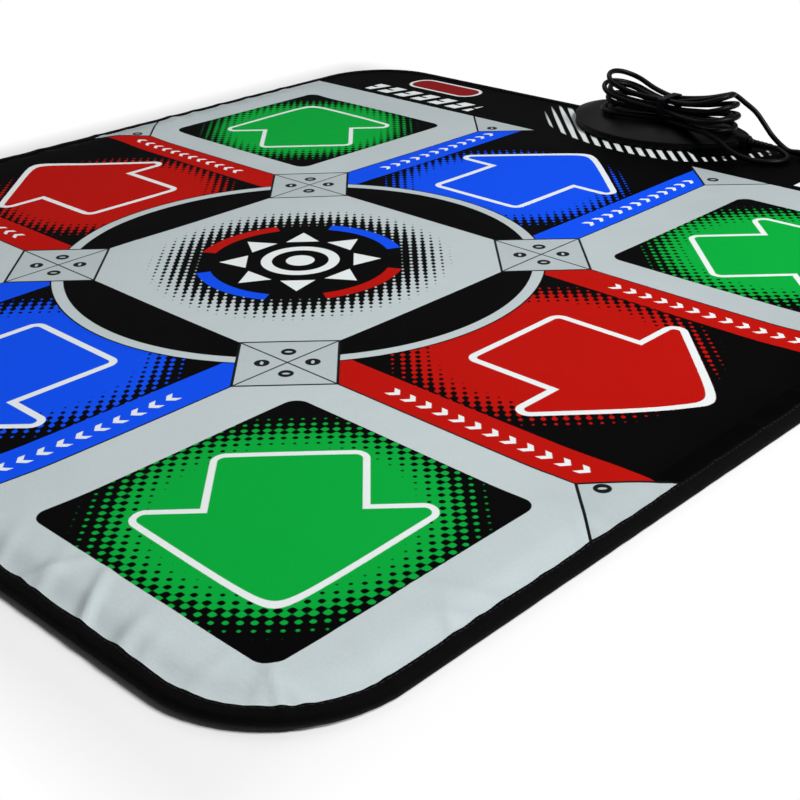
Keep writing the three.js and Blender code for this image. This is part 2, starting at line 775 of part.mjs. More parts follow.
/** The film tail: up from the lower film through its slot, then forward into the connector. */
function addFilmTail() {
  const foot = lowerFilmTop + tailGap
  const top = boardTop + connectorHeight / 2 + tailThickness / 2
  const half = tailThickness / 2
  const tip = boardRearY - connectorDepth / 2 + tailGap
  const outline = [
    new THREE.Vector2(tailY - half, foot),
    new THREE.Vector2(tailY + half, foot),
    new THREE.Vector2(tailY + half, top),
    new THREE.Vector2(tip, top),
    new THREE.Vector2(tip, top - tailThickness),
    new THREE.Vector2(tailY - half, top - tailThickness),
  ]
  const tail = alongX(sheet(outline, [], tailWidth))
  addPiece(part, 'film_tail', tail, finishes.film, -tailWidth / 2, boxCentreY)
}

// Where the strain relief's collar meets the port, and where its tip ends
const reliefStart = boxHalfWidth + portProtrusion + seatGap
const reliefTip = reliefStart + reliefLength
const portLevel = coverTop + portAxisHeight
const portPlaceY = boxCentreY + portY

/** The strain relief: flange inside the wall, neck through it, collar and a grooved taper outside. */
function addStrainRelief() {
  const flangeStart = boxHalfWidth + portProtrusion - portDepth + seatGap
  const taperStart = reliefStart + reliefCollarThickness
  const pitch = (reliefTip - taperStart) / (reliefGrooveCount + 1)
  const taperRadius = reliefCollarRadius - reliefGrooveDepth
  const radiusAt = (x) =>
    THREE.MathUtils.mapLinear(x, taperStart, reliefTip, taperRadius, reliefTipRadius)
  const grooves = Array.from({ length: reliefGrooveCount }, (_, i) => {
    const x = taperStart + (i + 1) * pitch
    const depth = reliefGrooveDepth / 2
    return [
      [radiusAt(x - pitch / 4), x - pitch / 4],
      [radiusAt(x) - depth, x - pitch / 8],
      [radiusAt(x) - depth, x + pitch / 8],
      [radiusAt(x + pitch / 4), x + pitch / 4],
    ]
  }).flat()
  const relief = turnedAlongX(
    [
      [0, flangeStart],
      [reliefFlangeRadius, flangeStart],
      [reliefFlangeRadius, flangeStart + reliefFlangeThickness],
      [reliefNeckRadius, flangeStart + reliefFlangeThickness],
      [reliefNeckRadius, reliefStart],
      [reliefCollarRadius, reliefStart],
      [reliefCollarRadius, taperStart],
      [radiusAt(taperStart), taperStart],
      ...grooves,
      [reliefTipRadius, reliefTip],
      [0, reliefTip],
    ],
    holeSteps,
  )
  addPiece(part, 'strain_relief', relief, finishes.cord, 0, portPlaceY, portLevel)
}

/** A tube through a smooth curve, with a given radius and number of sides. */
function tube(points, radius, sides, steps) {
  const path = new THREE.CatmullRomCurve3(points, false, 'centripetal')
  const section = new THREE.Shape(circle(0, 0, radius, sides))
  return new THREE.ExtrudeGeometry(section, { steps, bevelEnabled: false, extrudePath: path })
}

/** The cord's inner end, from the strain relief's flange to the board. */
function addInnerLead() {
  const start = boxHalfWidth + portProtrusion - portDepth
  const boardEdge = boardWidth / 2
  const rest = boardTop + innerLeadRadius + seatGap
  const step = (start - boardEdge) / 3
  const points = [
    new THREE.Vector3(start, portPlaceY, portLevel),
    new THREE.Vector3(start - step, portPlaceY, portLevel + innerLeadRadius),
    new THREE.Vector3(boardEdge + step / 2, portPlaceY - innerLeadRadius, rest),
    new THREE.Vector3(boardEdge - step, portPlaceY - boardPostInset, rest),
  ]
  addPiece(part, 'inner_lead', tube(points, innerLeadRadius, cordSides, innerLeadSteps), finishes.cord)
}

// Hank

const cordRadius = cordDiameter / 2
const turnPitch = cordDiameter + turnGap
const layerPitch = cordDiameter + layerGap
const hankSqueeze = hankFoldRadius - hankWaistOffset
const hankPlaceY = boxCentreY + hankCentreY
const hankBottom = boxTop + tieClearance + tieThickness + tieClearance + cordRadius
const hankReach = hankRunLength / 2 + hankFoldRadius + (turnPitch * runsPerLayer) / 2

/** How far from the hank's middle line a run lies: the spiral's radius goes in and out again. */
const runRadius = (run) =>
  hankFoldRadius + (turnPitch / 2) * Math.abs(runsPerLayer - (run % (2 * runsPerLayer)))

/** The layer in which a run lies at a share of its length. Every third run climbs to the next. */
function layerAt(run, share) {
  const climbs = run > 0 && run % runsPerLayer === 0
  const below = Math.max(0, Math.floor((run - 1) / runsPerLayer))
  return climbs ? below + THREE.MathUtils.smoothstep(share, 0, 1) : below
}

/** A point of the hank. The layers fan apart towards the folds, where nothing ties them. */
function hankPoint(x, y, layer) {
  const fan = 1 + hankFanShare * (x / hankReach) ** 2
  return new THREE.Vector3(hankCentreX + x, hankPlaceY + y, hankBottom + layer * layerPitch * fan)
}

/** The points of the whole hank, from its first run in the bottom layer to its last in the top one. */
function hankPoints() {
  const points = []
  const half = hankRunLength / 2
  const straightHalf = half * Math.min(...hankRunShares.map(Math.abs))
  for (let run = 0; run < hankRuns; run++) {
    const side = run % 2 === 0 ? 1 : -1
    for (const share of run === 0 ? hankRunShares : hankRunShares.slice(1)) {
      const x = side * half * share
      const waist = hankSqueeze * (1 - THREE.MathUtils.smoothstep(Math.abs(x), straightHalf, half))
      points.push(hankPoint(x, -side * (runRadius(run) - waist), layerAt(run, (1 - share) / 2)))
    }
    if (run === hankRuns - 1) break
    for (let i = 1; i <= hankFoldSteps; i++) {
      const angle = (Math.PI * i) / hankFoldSteps
      const radius = THREE.MathUtils.lerp(runRadius(run), runRadius(run + 1), i / hankFoldSteps)
      const x = -side * (half + radius * Math.sin(angle))
      points.push(hankPoint(x, -side * radius * Math.cos(angle), layerAt(run, 1)))
    }
  }
  const first = points[0].clone().sub(points[1]).setLength(cordDiameter).add(points[0])
  const end = points.length - 1
  const last = points[end].clone().sub(points[end - 1]).setLength(cordDiameter).add(points[end])
  return [first, ...points, last]
}

/** A tube whose rings stand square to a line of points, with flat ends. */
function tubeThrough(points, radius, sides) {
  let across = new THREE.Vector3(0, 0, 1)
  const rings = points.map((point, i) => {
    const before = points[Math.max(0, i - 1)]
    const after = points[Math.min(points.length - 1, i + 1)]
    const along = after.clone().sub(before).normalize()
    across = across.clone().addScaledVector(along, -across.dot(along)).normalize()
    const third = along.clone().cross(across)
    return circle(0, 0, radius, sides).map((p) =>
      point.clone().addScaledVector(across, p.x).addScaledVector(third, p.y),
    )
  })
  return skin(rings, false)
}

/** The least distance between the tube's middle line and itself, past its own neighbours. */
function leastApart(points, neighbours) {
  let least = Infinity
  const near = new THREE.Vector3()
  for (let i = 0; i < points.length; i++) {
    for (let j = 0; j < points.length - 1; j++) {
      if (Math.abs(i - j) < neighbours || Math.abs(i - j - 1) < neighbours) continue
      new THREE.Line3(points[j], points[j + 1]).closestPointToPoint(points[i], true, near)
      least = Math.min(least, near.distanceTo(points[i]))
    }
  }
  return least
}

/** A route's place, given from the box's centre. */
const fromBox = ([x, y, z]) => new THREE.Vector3(x, boxCentreY + y, z)

/** The length of a line of points. */
const lengthOf = (points) => points.slice(1).reduce((sum, p, i) => sum + p.distanceTo(points[i]), 0)

/** The hank, the two free stretches that meet it end to end, and the tie round its waist. */
function addCord() {
  const hank = hankPoints()
  addPiece(part, 'cord_hank', tubeThrough(hank, cordRadius, hankSides), finishes.cord)

  const toStart = hank[0].clone().sub(hank[1]).normalize()
  const leadEnd = hank[0].clone().addScaledVector(toStart, seatGap)
  const lead = [
    new THREE.Vector3(reliefTip + seatGap, portPlaceY, portLevel),
    new THREE.Vector3(reliefTip + seatGap + cordDiameter, portPlaceY, portLevel),
    ...leadRoute.map(fromBox),
    leadEnd.clone().addScaledVector(toStart, cordDiameter),
    leadEnd,
  ]
  addPiece(part, 'cord_lead', tube(lead, cordRadius, cordSides, leadSteps), finishes.cord)

  const onward = hank.at(-1).clone().sub(hank.at(-2)).normalize()
  const tailStart = hank.at(-1).clone().addScaledVector(onward, seatGap)
  const tail = [
    tailStart,
    tailStart.clone().addScaledVector(onward, cordDiameter),
    ...tailRoute.map(fromBox),
    new THREE.Vector3(plugX - cordDiameter, plugY, plugLevel),
    new THREE.Vector3(plugX, plugY, plugLevel),
  ]
  addPiece(part, 'cord_tail', tube(tail, cordRadius, cordSides, tailSteps), finishes.cord)

  const gap = leastApart(hank, nearestNeighbours) - cordDiameter
  console.log(`hank: ${lengthOf(hank).toFixed(0)} mm of cord, least gap to itself ${gap.toFixed(2)} mm`)
  console.log(`lead ${lengthOf(lead).toFixed(0)} mm, tail ${lengthOf(tail).toFixed(0)} mm`)
}

/** The tie: a flat band round all runs at the waist. */
function addTie() {
  const reach = cordRadius + tieClearance
  const front = runRadius(0) - hankSqueeze + reach
  const back = runRadius(1) - hankSqueeze + reach
  const layers = Math.ceil(hankRuns / runsPerLayer)
  const height = (layers - 1) * layerPitch + 2 * reach
  const middle = (back - front) / 2
  const centre = hankBottom - reach + height / 2
  const band = (grow) =>
    placed(
      roundedRectangle(front + back + 2 * grow, height + 2 * grow, cordRadius + grow, panelCornerSteps),
      0, hankPlaceY + middle, centre,
    )
  const tie = alongX(sheet(band(tieThickness), [band(0)], tieWidth))
  addPiece(part, 'cord_tie', tie, finishes.plate, hankCentreX - tieWidth / 2)
}

// Plug

const plugLevel = coverTop + plugRestGap + plugBodyHeight / 2

/** The plug: a boot, a moulded body with a waist for the fingers, and a flat metal shell with its tongue. */
function addPlug() {
  const bootStart = plugX + seatGap
  const boot = turnedAlongX(
    [
      [0, 0],
      [cordRadius + tieClearance, 0],
      [plugBootRadius, plugBootLength],
      [0, plugBootLength],
    ],
    holeSteps,
  )
  addPiece(part, 'plug_boot', boot, finishes.cord, bootStart, plugY, plugLevel)

  const bodyStart = bootStart + plugBootLength
  const bodyShares = [
    [0, 0.8],
    [0.06, 0.96],
    [0.3, 1],
    [0.5, 0.92],
    [0.7, 1],
    [0.96, 1],
    [1, 0.94],
  ]
  const rings = bodyShares.map(([along, size]) => {
    const ring = roundedRectangle(
      plugBodyWidth * size, plugBodyHeight * size, plugBodyRadius * size, panelCornerSteps,
    )
    return ring.map((p) => new THREE.Vector3(plugBodyLength * along, p.x, p.y))
  })
  addPiece(part, 'plug_body', skin(rings, false), finishes.cord, bodyStart, plugY, plugLevel)

  const shellStart = bodyStart + plugBodyLength
  const cornerRadius = 2 * plugShellWall
  const tubeOutline = roundedRectangle(plugShellWidth, plugShellHeight, cornerRadius, panelCornerSteps)
  const holeWidth = plugShellWidth - 2 * plugShellWall
  const holeHeight = plugShellHeight - 2 * plugShellWall
  const tubeHole = roundedRectangle(holeWidth, holeHeight, cornerRadius / 2, panelCornerSteps)
  const shell = alongX(sheet(tubeOutline, [tubeHole], plugShellLength))
  addPiece(part, 'plug_shell', shell, finishes.steel, shellStart, plugY, plugLevel)

  const inside = plugShellHeight / 2 - plugShellWall
  const tongueLength = plugShellLength - plugTongueSetback
  const tongue = new THREE.BoxGeometry(
    tongueLength, plugShellWidth - 2 * (plugShellWall + seatGap), plugTongueHeight,
  )
  const tongueLevel = plugLevel - inside + tieClearance + plugTongueHeight / 2
  addPiece(part, 'plug_tongue', tongue, finishes.plate, shellStart + tongueLength / 2, plugY, tongueLevel)
}

addSheets()
addBinding()
panels.forEach(addPanel)
addAnchorPlate()
addScrews()
addBoxBase()
addBoxCover()
addElectronics()
addFilmTail()
addStrainRelief()
addInnerLead()
addCord()
addTie()
addPlug()

export default part
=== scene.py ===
"""A soft dance mat controller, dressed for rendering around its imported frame.

The mat lies on the floor with its grid of printed step panels, a sewn edge binding and a low half-round
control box on the far strip, where a tied hank of cord lies. Lengths are metres unless a name or a
docstring says millimetres.
"""

from __future__ import annotations

import json
import logging
import math
import random
from collections.abc import Callable, Sequence
from dataclasses import dataclass, field
from enum import Enum

import bmesh
import bpy
import numpy as np
from mathutils import Matrix, Vector
from mathutils.geometry import delaunay_2d_cdt

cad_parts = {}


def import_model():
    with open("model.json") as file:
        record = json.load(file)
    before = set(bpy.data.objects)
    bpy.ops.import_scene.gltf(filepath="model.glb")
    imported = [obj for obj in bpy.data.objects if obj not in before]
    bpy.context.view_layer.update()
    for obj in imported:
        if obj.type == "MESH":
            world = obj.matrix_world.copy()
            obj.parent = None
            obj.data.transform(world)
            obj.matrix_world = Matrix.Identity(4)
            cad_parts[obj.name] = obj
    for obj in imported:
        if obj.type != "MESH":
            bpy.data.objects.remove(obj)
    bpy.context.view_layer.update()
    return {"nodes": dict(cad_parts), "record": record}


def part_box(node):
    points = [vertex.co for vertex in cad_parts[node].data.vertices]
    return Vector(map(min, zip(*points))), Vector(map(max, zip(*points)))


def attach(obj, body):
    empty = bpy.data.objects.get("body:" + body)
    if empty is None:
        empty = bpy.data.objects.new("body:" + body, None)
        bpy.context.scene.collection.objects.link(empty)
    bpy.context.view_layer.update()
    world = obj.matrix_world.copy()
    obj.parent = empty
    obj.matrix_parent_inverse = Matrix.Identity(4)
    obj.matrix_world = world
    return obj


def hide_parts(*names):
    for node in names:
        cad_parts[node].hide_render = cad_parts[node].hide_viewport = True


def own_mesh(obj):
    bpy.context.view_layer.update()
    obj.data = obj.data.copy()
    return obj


LOG = logging.getLogger("dance_mat")
MM = 0.001
PHOTO_PIXELS = 800
SENSOR_WIDTH = 36.0
ROOT = "root"
DIAGONAL = math.sqrt(0.5)

# Sizes of the printed field that the print and the panels share, in millimetres
CELL_LINE = 131.0
BAND_WIDTH = 31.0
PANEL_RADIUS = 10.0
BUTTON_RADIUS = 17.0

Colour = tuple[float, float, float]
Plan = list[tuple[float, float]]


def srgb(red: int, green: int, blue: int) -> Colour:
    """A colour for the shaders.

    Args:
        red: Red as the screen shows it, from 0 to 255.
        green: Green, the same way.
        blue: Blue, the same way.

    Returns:
        The three linear values.
    """

    def linear(value: int) -> float:
        """One linear value."""
        share = value / 255
        return share / 12.92 if share <= 0.04045 else ((share + 0.055) / 1.055) ** 2.4

    return linear(red), linear(green), linear(blue)


# Shader maths


class Num:
    """A number that changes over a surface. Its operators add Math nodes."""

    def __init__(self, graph: Graph, socket: bpy.types.NodeSocket) -> None:
        """Wraps a socket of a graph."""
        self.graph = graph
        self.socket = socket

    def then(self, operation: str, *others: Num | float, clamp: bool = False) -> Num:
        """This number and others through one Math node."""
        return self.graph.math(operation, self, *others, clamp=clamp)

    def __add__(self, other: Num | float) -> Num:
        """The sum."""
        return self.then("ADD", other)

    __radd__ = __add__

    def __sub__(self, other: Num | float) -> Num:
        """The difference."""
        return self.then("SUBTRACT", other)

    def __rsub__(self, other: float) -> Num:
        """The difference from a plain number."""
        return self.graph.math("SUBTRACT", other, self)

    def __mul__(self, other: Num | float) -> Num:
        """The product."""
        return self.then("MULTIPLY", other)

    __rmul__ = __mul__

    def __truediv__(self, other: Num | float) -> Num:
        """The quotient."""
        return self.then("DIVIDE", other)

    def __abs__(self) -> Num:
        """The size without its sign."""
        return self.then("ABSOLUTE")

    def least(self, other: Num | float) -> Num:
        """The smaller of two."""
        return self.then("MINIMUM", other)

    def most(self, other: Num | float) -> Num:
        """The larger of two."""
        return self.then("MAXIMUM", other)

    def cosine(self) -> Num:
        """The cosine of an angle in radians."""
        return self.then("COSINE")

    def fraction(self) -> Num:
        """What is left above the next lower whole number."""
        return self.then("FRACT")

    def clamped(self) -> Num:
        """The number kept from 0 to 1."""
        return self.then("MULTIPLY", 1.0, clamp=True)

    def below(self, limit: float, soft: float) -> Num:
        """A mask that is 1 where the number is below a limit, with an edge of a given softness."""
        return self.then("MULTIPLY_ADD", -1 / soft, limit / soft + 0.5, clamp=True)

    def above(self, limit: float, soft: float) -> Num:
        """A mask that is 1 where the number is above a limit."""
        return self.then("MULTIPLY_ADD", 1 / soft, 0.5 - limit / soft, clamp=True)


def length_of(x: Num, y: Num) -> Num:
    """The length of a vector given by its two parts."""
    return (x * x + y * y).then("SQRT")


class Graph:
    """The nodes of one material, or of the world."""

    def __init__(self, owner: bpy.types.Material | bpy.types.World) -> None:
        """Empties the node tree of a material or a world."""
        owner.use_nodes = True
        self.owner = owner
        self.tree = owner.node_tree
        self.tree.nodes.clear()

    def add(self, kind: str, settings: dict | None = None, sockets: dict | None = None) -> bpy.types.Node:
        """Adds a node.

        Args:
            kind: The node's type.
            settings: Its own properties, set first.
            sockets: Values or links of its inputs, by name or index.

        Returns:
            The new node.
        """
        node = self.tree.nodes.new(kind)
        for key, value in (settings or {}).items():
            setattr(node, key, value)
        for key, value in (sockets or {}).items():
            self.join(value, node.inputs[key])
        return node

    def join(self, value: object, target: bpy.types.NodeSocket) -> None:
        """Links or sets one input.

        Args:
            value: A number of the graph, an output to link, or a plain value.
            target: The input.
        """
        if isinstance(value, Num):
            value = value.socket
        if isinstance(value, bpy.types.NodeSocket):
            self.tree.links.new(value, target)
        elif isinstance(value, tuple) and len(value) == 3 and target.type == "RGBA":
            target.default_value = (*value, 1.0)
        else:
            target.default_value = value

    def math(self, operation: str, *values: Num | float, clamp: bool = False) -> Num:
        """One Math node on numbers.

        Args:
            operation: What the node does.
            values: Its inputs, in order.
            clamp: Whether the result is kept from 0 to 1.

        Returns:
            The result.
        """
        settings = {"operation": operation, "use_clamp": clamp}
        node = self.add("ShaderNodeMath", settings, dict(enumerate(values)))
        return Num(self, node.outputs[0])

    def mix(self, first: object, second: object, share: Num | float) -> bpy.types.NodeSocket:
        """The first colour, or the second where share is 1."""
        sockets = {0: share, 6: first, 7: second}
        return self.add("ShaderNodeMix", {"data_type": "RGBA", "clamp_factor": True}, sockets).outputs[2]

    def blend(self, first: Num | float, second: Num | float, share: Num) -> Num:
        """The first number, or the second where share is 1."""
        node = self.add("ShaderNodeMix", {"data_type": "FLOAT"}, {0: share, 2: first, 3: second})
        return Num(self, node.outputs[0])

    def place(self) -> bpy.types.NodeSocket:
        """The point of the surface, in the object's own metres."""
        return self.add("ShaderNodeTexCoord").outputs["Object"]

    def parts(self) -> list[Num]:
        """That point's x, y and z."""
        outputs = self.add("ShaderNodeSeparateXYZ", sockets={0: self.place()}).outputs
        return [Num(self, output) for output in outputs]

    def noise(self, scale: float, detail: float = 2.0) -> Num:
        """Noise of a given number of waves to the metre, from 0 to 1."""
        sockets = {"Vector": self.place(), "Scale": scale, "Detail": detail}
        return Num(self, self.add("ShaderNodeTexNoise", sockets=sockets).outputs[0])

    def bump(
        self, height: Num, depth: float, normal: bpy.types.NodeSocket | None = None,
    ) -> bpy.types.NodeSocket:
        """A normal that follows a height.

        Args:
            height: The height, from 0 to 1.
            depth: The depth in metres that 1 stands for.
            normal: A normal that it starts from, if not the surface's own.

        Returns:
            The new normal.
        """
        sockets = {"Strength": 1.0, "Distance": depth, "Height": height}
        if normal is not None:
            sockets["Normal"] = normal
        return self.add("ShaderNodeBump", sockets=sockets).outputs[0]


class FinishGraph(Graph):
    """The nodes of a new material with one shader."""

    def __init__(self, name: str) -> None:
        """Starts the material with its shader."""
        super().__init__(bpy.data.materials.new(name))
        self.shader = self.add("ShaderNodeBsdfPrincipled")
        self.add("ShaderNodeOutputMaterial", sockets={"Surface": self.shader.outputs["BSDF"]})

    def finish(self, **sockets: object) -> bpy.types.Material:
        """Sets the shader's inputs, named with underscores, and gives the material."""
        for key, value in sockets.items():
            self.join(value, self.shader.inputs[key.replace("_", " ")])
        return self.owner


# Finishes


@dataclass(frozen=True)
class Finish:
    """A finish with grain: its colours, gloss and the depth of its surface."""

    name: str
    colour: Colour
    shade: Colour
    roughness: float
    grain_mm: float = 0.6
    grain_depth_mm: float = 0.02
    metallic: float = 0.0
    specular: float = 0.5
    patch_mm: float = 40.0
    patch_detail: float = 3.0
    patch_colour: float = 0.7
    grain_colour: float = 0.5
    patch_gloss: float = 0.16
    grain_gloss: float = 0.1

    def material(self) -> bpy.types.Material:
        """The finish as a material: two close colours in patches, and a fine grain."""
        graph = FinishGraph(self.name)
        patch = graph.noise(1 / (self.patch_mm * MM), self.patch_detail)
        grain = graph.noise(1 / (self.grain_mm * MM))
        share = (patch * self.patch_colour + grain * self.grain_colour).clamped()
        base = self.roughness - (self.patch_gloss + self.grain_gloss) / 2
        return graph.finish(
            Base_Color=graph.mix(self.shade, self.colour, share),
            Roughness=(patch * self.patch_gloss + grain * self.grain_gloss + base).clamped(),
            Metallic=self.metallic,
            Specular_IOR_Level=self.specular,
            Normal=graph.bump(grain, self.grain_depth_mm * MM),
        )


@dataclass(frozen=True)
class WovenTape:
    """Black woven tape: a fine diagonal weave, a little dusty."""

    name: str = "woven_tape"
    colour: Colour = srgb(9, 9, 10)
    shade: Colour = srgb(2, 2, 3)
    thread_mm: float = 0.9
    weave_depth_mm: float = 0.12
    weave_colour: float = 0.6
    dust_waves: float = 60.0
    dust_detail: float = 4.0
    dust_colour: float = 0.5
    dust_gloss: float = 0.2
    roughness: float = 0.68
    specular: float = 0.05

    def material(self) -> bpy.types.Material:
        """The tape's material."""
        graph = FinishGraph(self.name)
        x, y, z = graph.parts()
        pace = 2 * math.pi / (self.thread_mm * MM)
        along = ((x + y + z) * pace).cosine()
        across = ((x - y + z) * pace).cosine()
        weave = along * across * 0.5 + 0.5
        dust = graph.noise(self.dust_waves, self.dust_detail)
        share = (weave * self.weave_colour + dust * self.dust_colour).clamped()
        return graph.finish(
            Base_Color=graph.mix(self.shade, self.colour, share),
            Roughness=(dust * self.dust_gloss + self.roughness).clamped(),
            Specular_IOR_Level=self.specular,
            Normal=graph.bump(weave, self.weave_depth_mm * MM),
        )


class Ink(Enum):
    """The printed design's inks."""

    SILVER = srgb(209, 220, 222)
    PLATE = srgb(201, 212, 214)
    BLACK = srgb(3, 3, 4)
    LINE = srgb(20, 22, 24)
    RED = srgb(190, 18, 10)
    BLUE = srgb(15, 83, 248)
    GREEN = srgb(7, 172, 62)
    WHITE = srgb(238, 244, 244)
    BUTTON = srgb(142, 26, 28)


@dataclass(frozen=True)
class ArrowShape:
    """A step arrow along its own axis, in millimetres from the middle of the grid."""

    tail: float = 219.0
    upright_tail: float = 210.0
    corner_tail: float = 232.5
    head_base: float = 288.5
    tip: float = 363.7
    head_half: float = 77.2
    shaft_half: float = 41.0
    corner_shaft_half: float = 39.5
    corner_width: float = 1.05
    corner_length: float = 0.943
    corner_middle: float = 285.5
    rounding: float = 9.0
    tip_softness: float = 10.0
    stroke: float = 5.2
    corner_stroke: float = 4.2
    overlap: float = 1.0
    sharp: float = 0.001

    def distance(
        self, graph: Graph, m: Num, n: Num, cell_x: Num, cell_y: Num, upright: Num, corner: Num,
    ) -> Num:
        """Signed distance to the arrow's outline, below zero inside.

        Args:
            graph: The material's nodes.
            m: Place along an edge cell's arrow.
            n: Distance from that arrow's axis.
            cell_x: Place in a corner cell from side to side.
            cell_y: Place in a corner cell from near to far.
            upright: 1 in the cells above and below the middle, whose arrows are longer.
            corner: 1 in a corner cell, whose arrow points outwards and is a little shorter.

        Returns:
            The distance in millimetres.
        """
        outward = (cell_x + cell_y) * (DIAGONAL * self.corner_length) + self.corner_middle
        along = graph.blend(m, outward, corner)
        aside = (cell_x - cell_y) * (DIAGONAL * self.corner_width)
        side = graph.blend(n, abs(aside), corner)
        side = (side * side + self.tip_softness**2).then("SQRT")
        tail = graph.blend(graph.blend(self.tail, self.upright_tail, upright), self.corner_tail, corner)
        shaft = graph.blend(self.shaft_half, self.corner_shaft_half, corner)
        head_edge = self.edge(along, side, (self.tip, 0.0), (self.head_base, self.head_half))
        base_side = (side - shaft).most(0.0) - (side - self.head_half).most(0.0)
        base_edge = length_of(along - self.head_base, side - shaft - base_side)
        shaft_along = along.most(tail).least(self.head_base)
        shaft_edge = length_of(along - shaft_along, side - shaft)
        tail_edge = length_of(along - tail, (side - shaft).most(0.0))
        nearest = head_edge.least(base_edge).least(shaft_edge).least(tail_edge)
        slope = self.head_half / (self.tip - self.head_base)
        in_head = ((self.tip - along) * slope - side).least(along - self.head_base)
        in_shaft = (along - tail).least(shaft - side).least(self.head_base + self.overlap - along)
        inside = in_head.most(in_shaft).above(0.0, self.sharp)
        return nearest * (1 - inside * 2) - self.rounding

    @staticmethod
    def edge(x: Num, y: Num, start: tuple[float, float], end: tuple[float, float]) -> Num:
        """Distance to a straight edge.

        Args:
            x: The place's first part.
            y: Its second part.
            start: One end of the edge.
            end: The other end.

        Returns:
            The distance.
        """
        step = (end[0] - start[0], end[1] - start[1])
        square = step[0] ** 2 + step[1] ** 2
        from_x = x - start[0]
        from_y = y - start[1]
        share = (from_x * (step[0] / square) + from_y * (step[1] / square)).clamped()
        return length_of(from_x - share * step[0], from_y - share * step[1])


@dataclass(frozen=True)
class Emblem:
    """The centre's plain mark, in millimetres from the middle: a dot, a ring, eight pointers, four arcs."""

    dot: float = 11.0
    ring: float = 26.0
    ring_half: float = 4.2
    pointer_base: float = 41.0
    pointer_tip: float = 62.0
    pointer_slope: float = 0.62
    arc_radius: float = 75.0
    arc_half: float = 5.4
    arc_spread: float = 0.55

    def masks(self, r: Num, m: Num, n: Num, soft: float) -> tuple[Num, Num]:
        """Where the mark lies.

        Args:
            r: Distance from the middle.
            m: The larger of the distances from the two middle lines.
            n: The smaller of them.
            soft: Softness of the edges.

        Returns:
            A mask of the white parts, and one of the coloured arcs.
        """
        white = r.below(self.dot, soft).most(abs(r - self.ring).below(self.ring_half, soft))
        for along, across in ((m, n), ((m + n) * DIAGONAL, (m - n) * DIAGONAL)):
            pointer = ((self.pointer_tip - along) * self.pointer_slope - across).above(0.0, soft)
            white = white.most(pointer * along.above(self.pointer_base, soft))
        arcs = abs(r - self.arc_radius).below(self.arc_half, soft)
        return white, arcs * (m * self.arc_spread - n).above(0.0, soft)


@dataclass(frozen=True)
class Chevrons:
    """A row of small chevrons along a band. Pitch and half width are millimetres, the rest pitches."""

    pitch: float = 13.2
    slant: float = 0.9
    half: float = 4.7
    stripe: tuple[float, float] = (0.1, 0.45)
    stripe_soft: float = 0.05
    row: tuple[float, float] = (16.0, 28.0)
    row_soft: float = 0.01

    def mask(self, along: Num, across: Num, soft: float) -> Num:
        """Where the chevrons lie.

        Args:
            along: Place along the band, from the middle of the grid.
            across: Distance from the band's own middle line.
            soft: Softness of the band's edges.

        Returns:
            The mask.
        """
        place = (along + abs(across) * self.slant) / self.pitch
        share = place.fraction()
        start, end = self.stripe
        stripe = share.above(start, self.stripe_soft) * share.below(end, self.stripe_soft)
        start, end = self.row
        row = place.above(start, self.row_soft) * place.below(end, self.row_soft)
        return stripe * abs(across).below(self.half, soft) * row


@dataclass(frozen=True)
class Blocks:
    """The row of plain slanted blocks under each oval, in millimetres and shares of a block's pitch."""

    middle: tuple[float, float] = (265.0, 421.5)
    half: tuple[float, float] = (76.0, 12.5)
    pitch: float = 25.0
    slant: float = 0.3
    block: tuple[float, float] = (0.14, 0.74)
    notch_half: float = 1.8
    notch_start: float = 0.36
    side_soft: float = 0.04

    def mask(self, across: Num, v: Num, soft: float) -> Num:
        """Where the blocks lie, each with a notch from its side.

        Args:
            across: Distance from the middle line.
            v: Place from near to far.
            soft: Softness of the rows' edges.

        Returns:
            The mask.
        """
        height = v - self.middle[1]
        place = ((across + height * self.slant) / self.pitch).fraction()
        blocks = place.above(self.block[0], self.side_soft) * place.below(self.block[1], self.side_soft)
        blocks = blocks * abs(height).below(self.half[1], soft)
        blocks = blocks * abs(across - self.middle[0]).below(self.half[0], soft)
        notch = abs(height).below(self.notch_half, soft) * place.above(self.notch_start, self.side_soft)
        return blocks * (1 - notch)


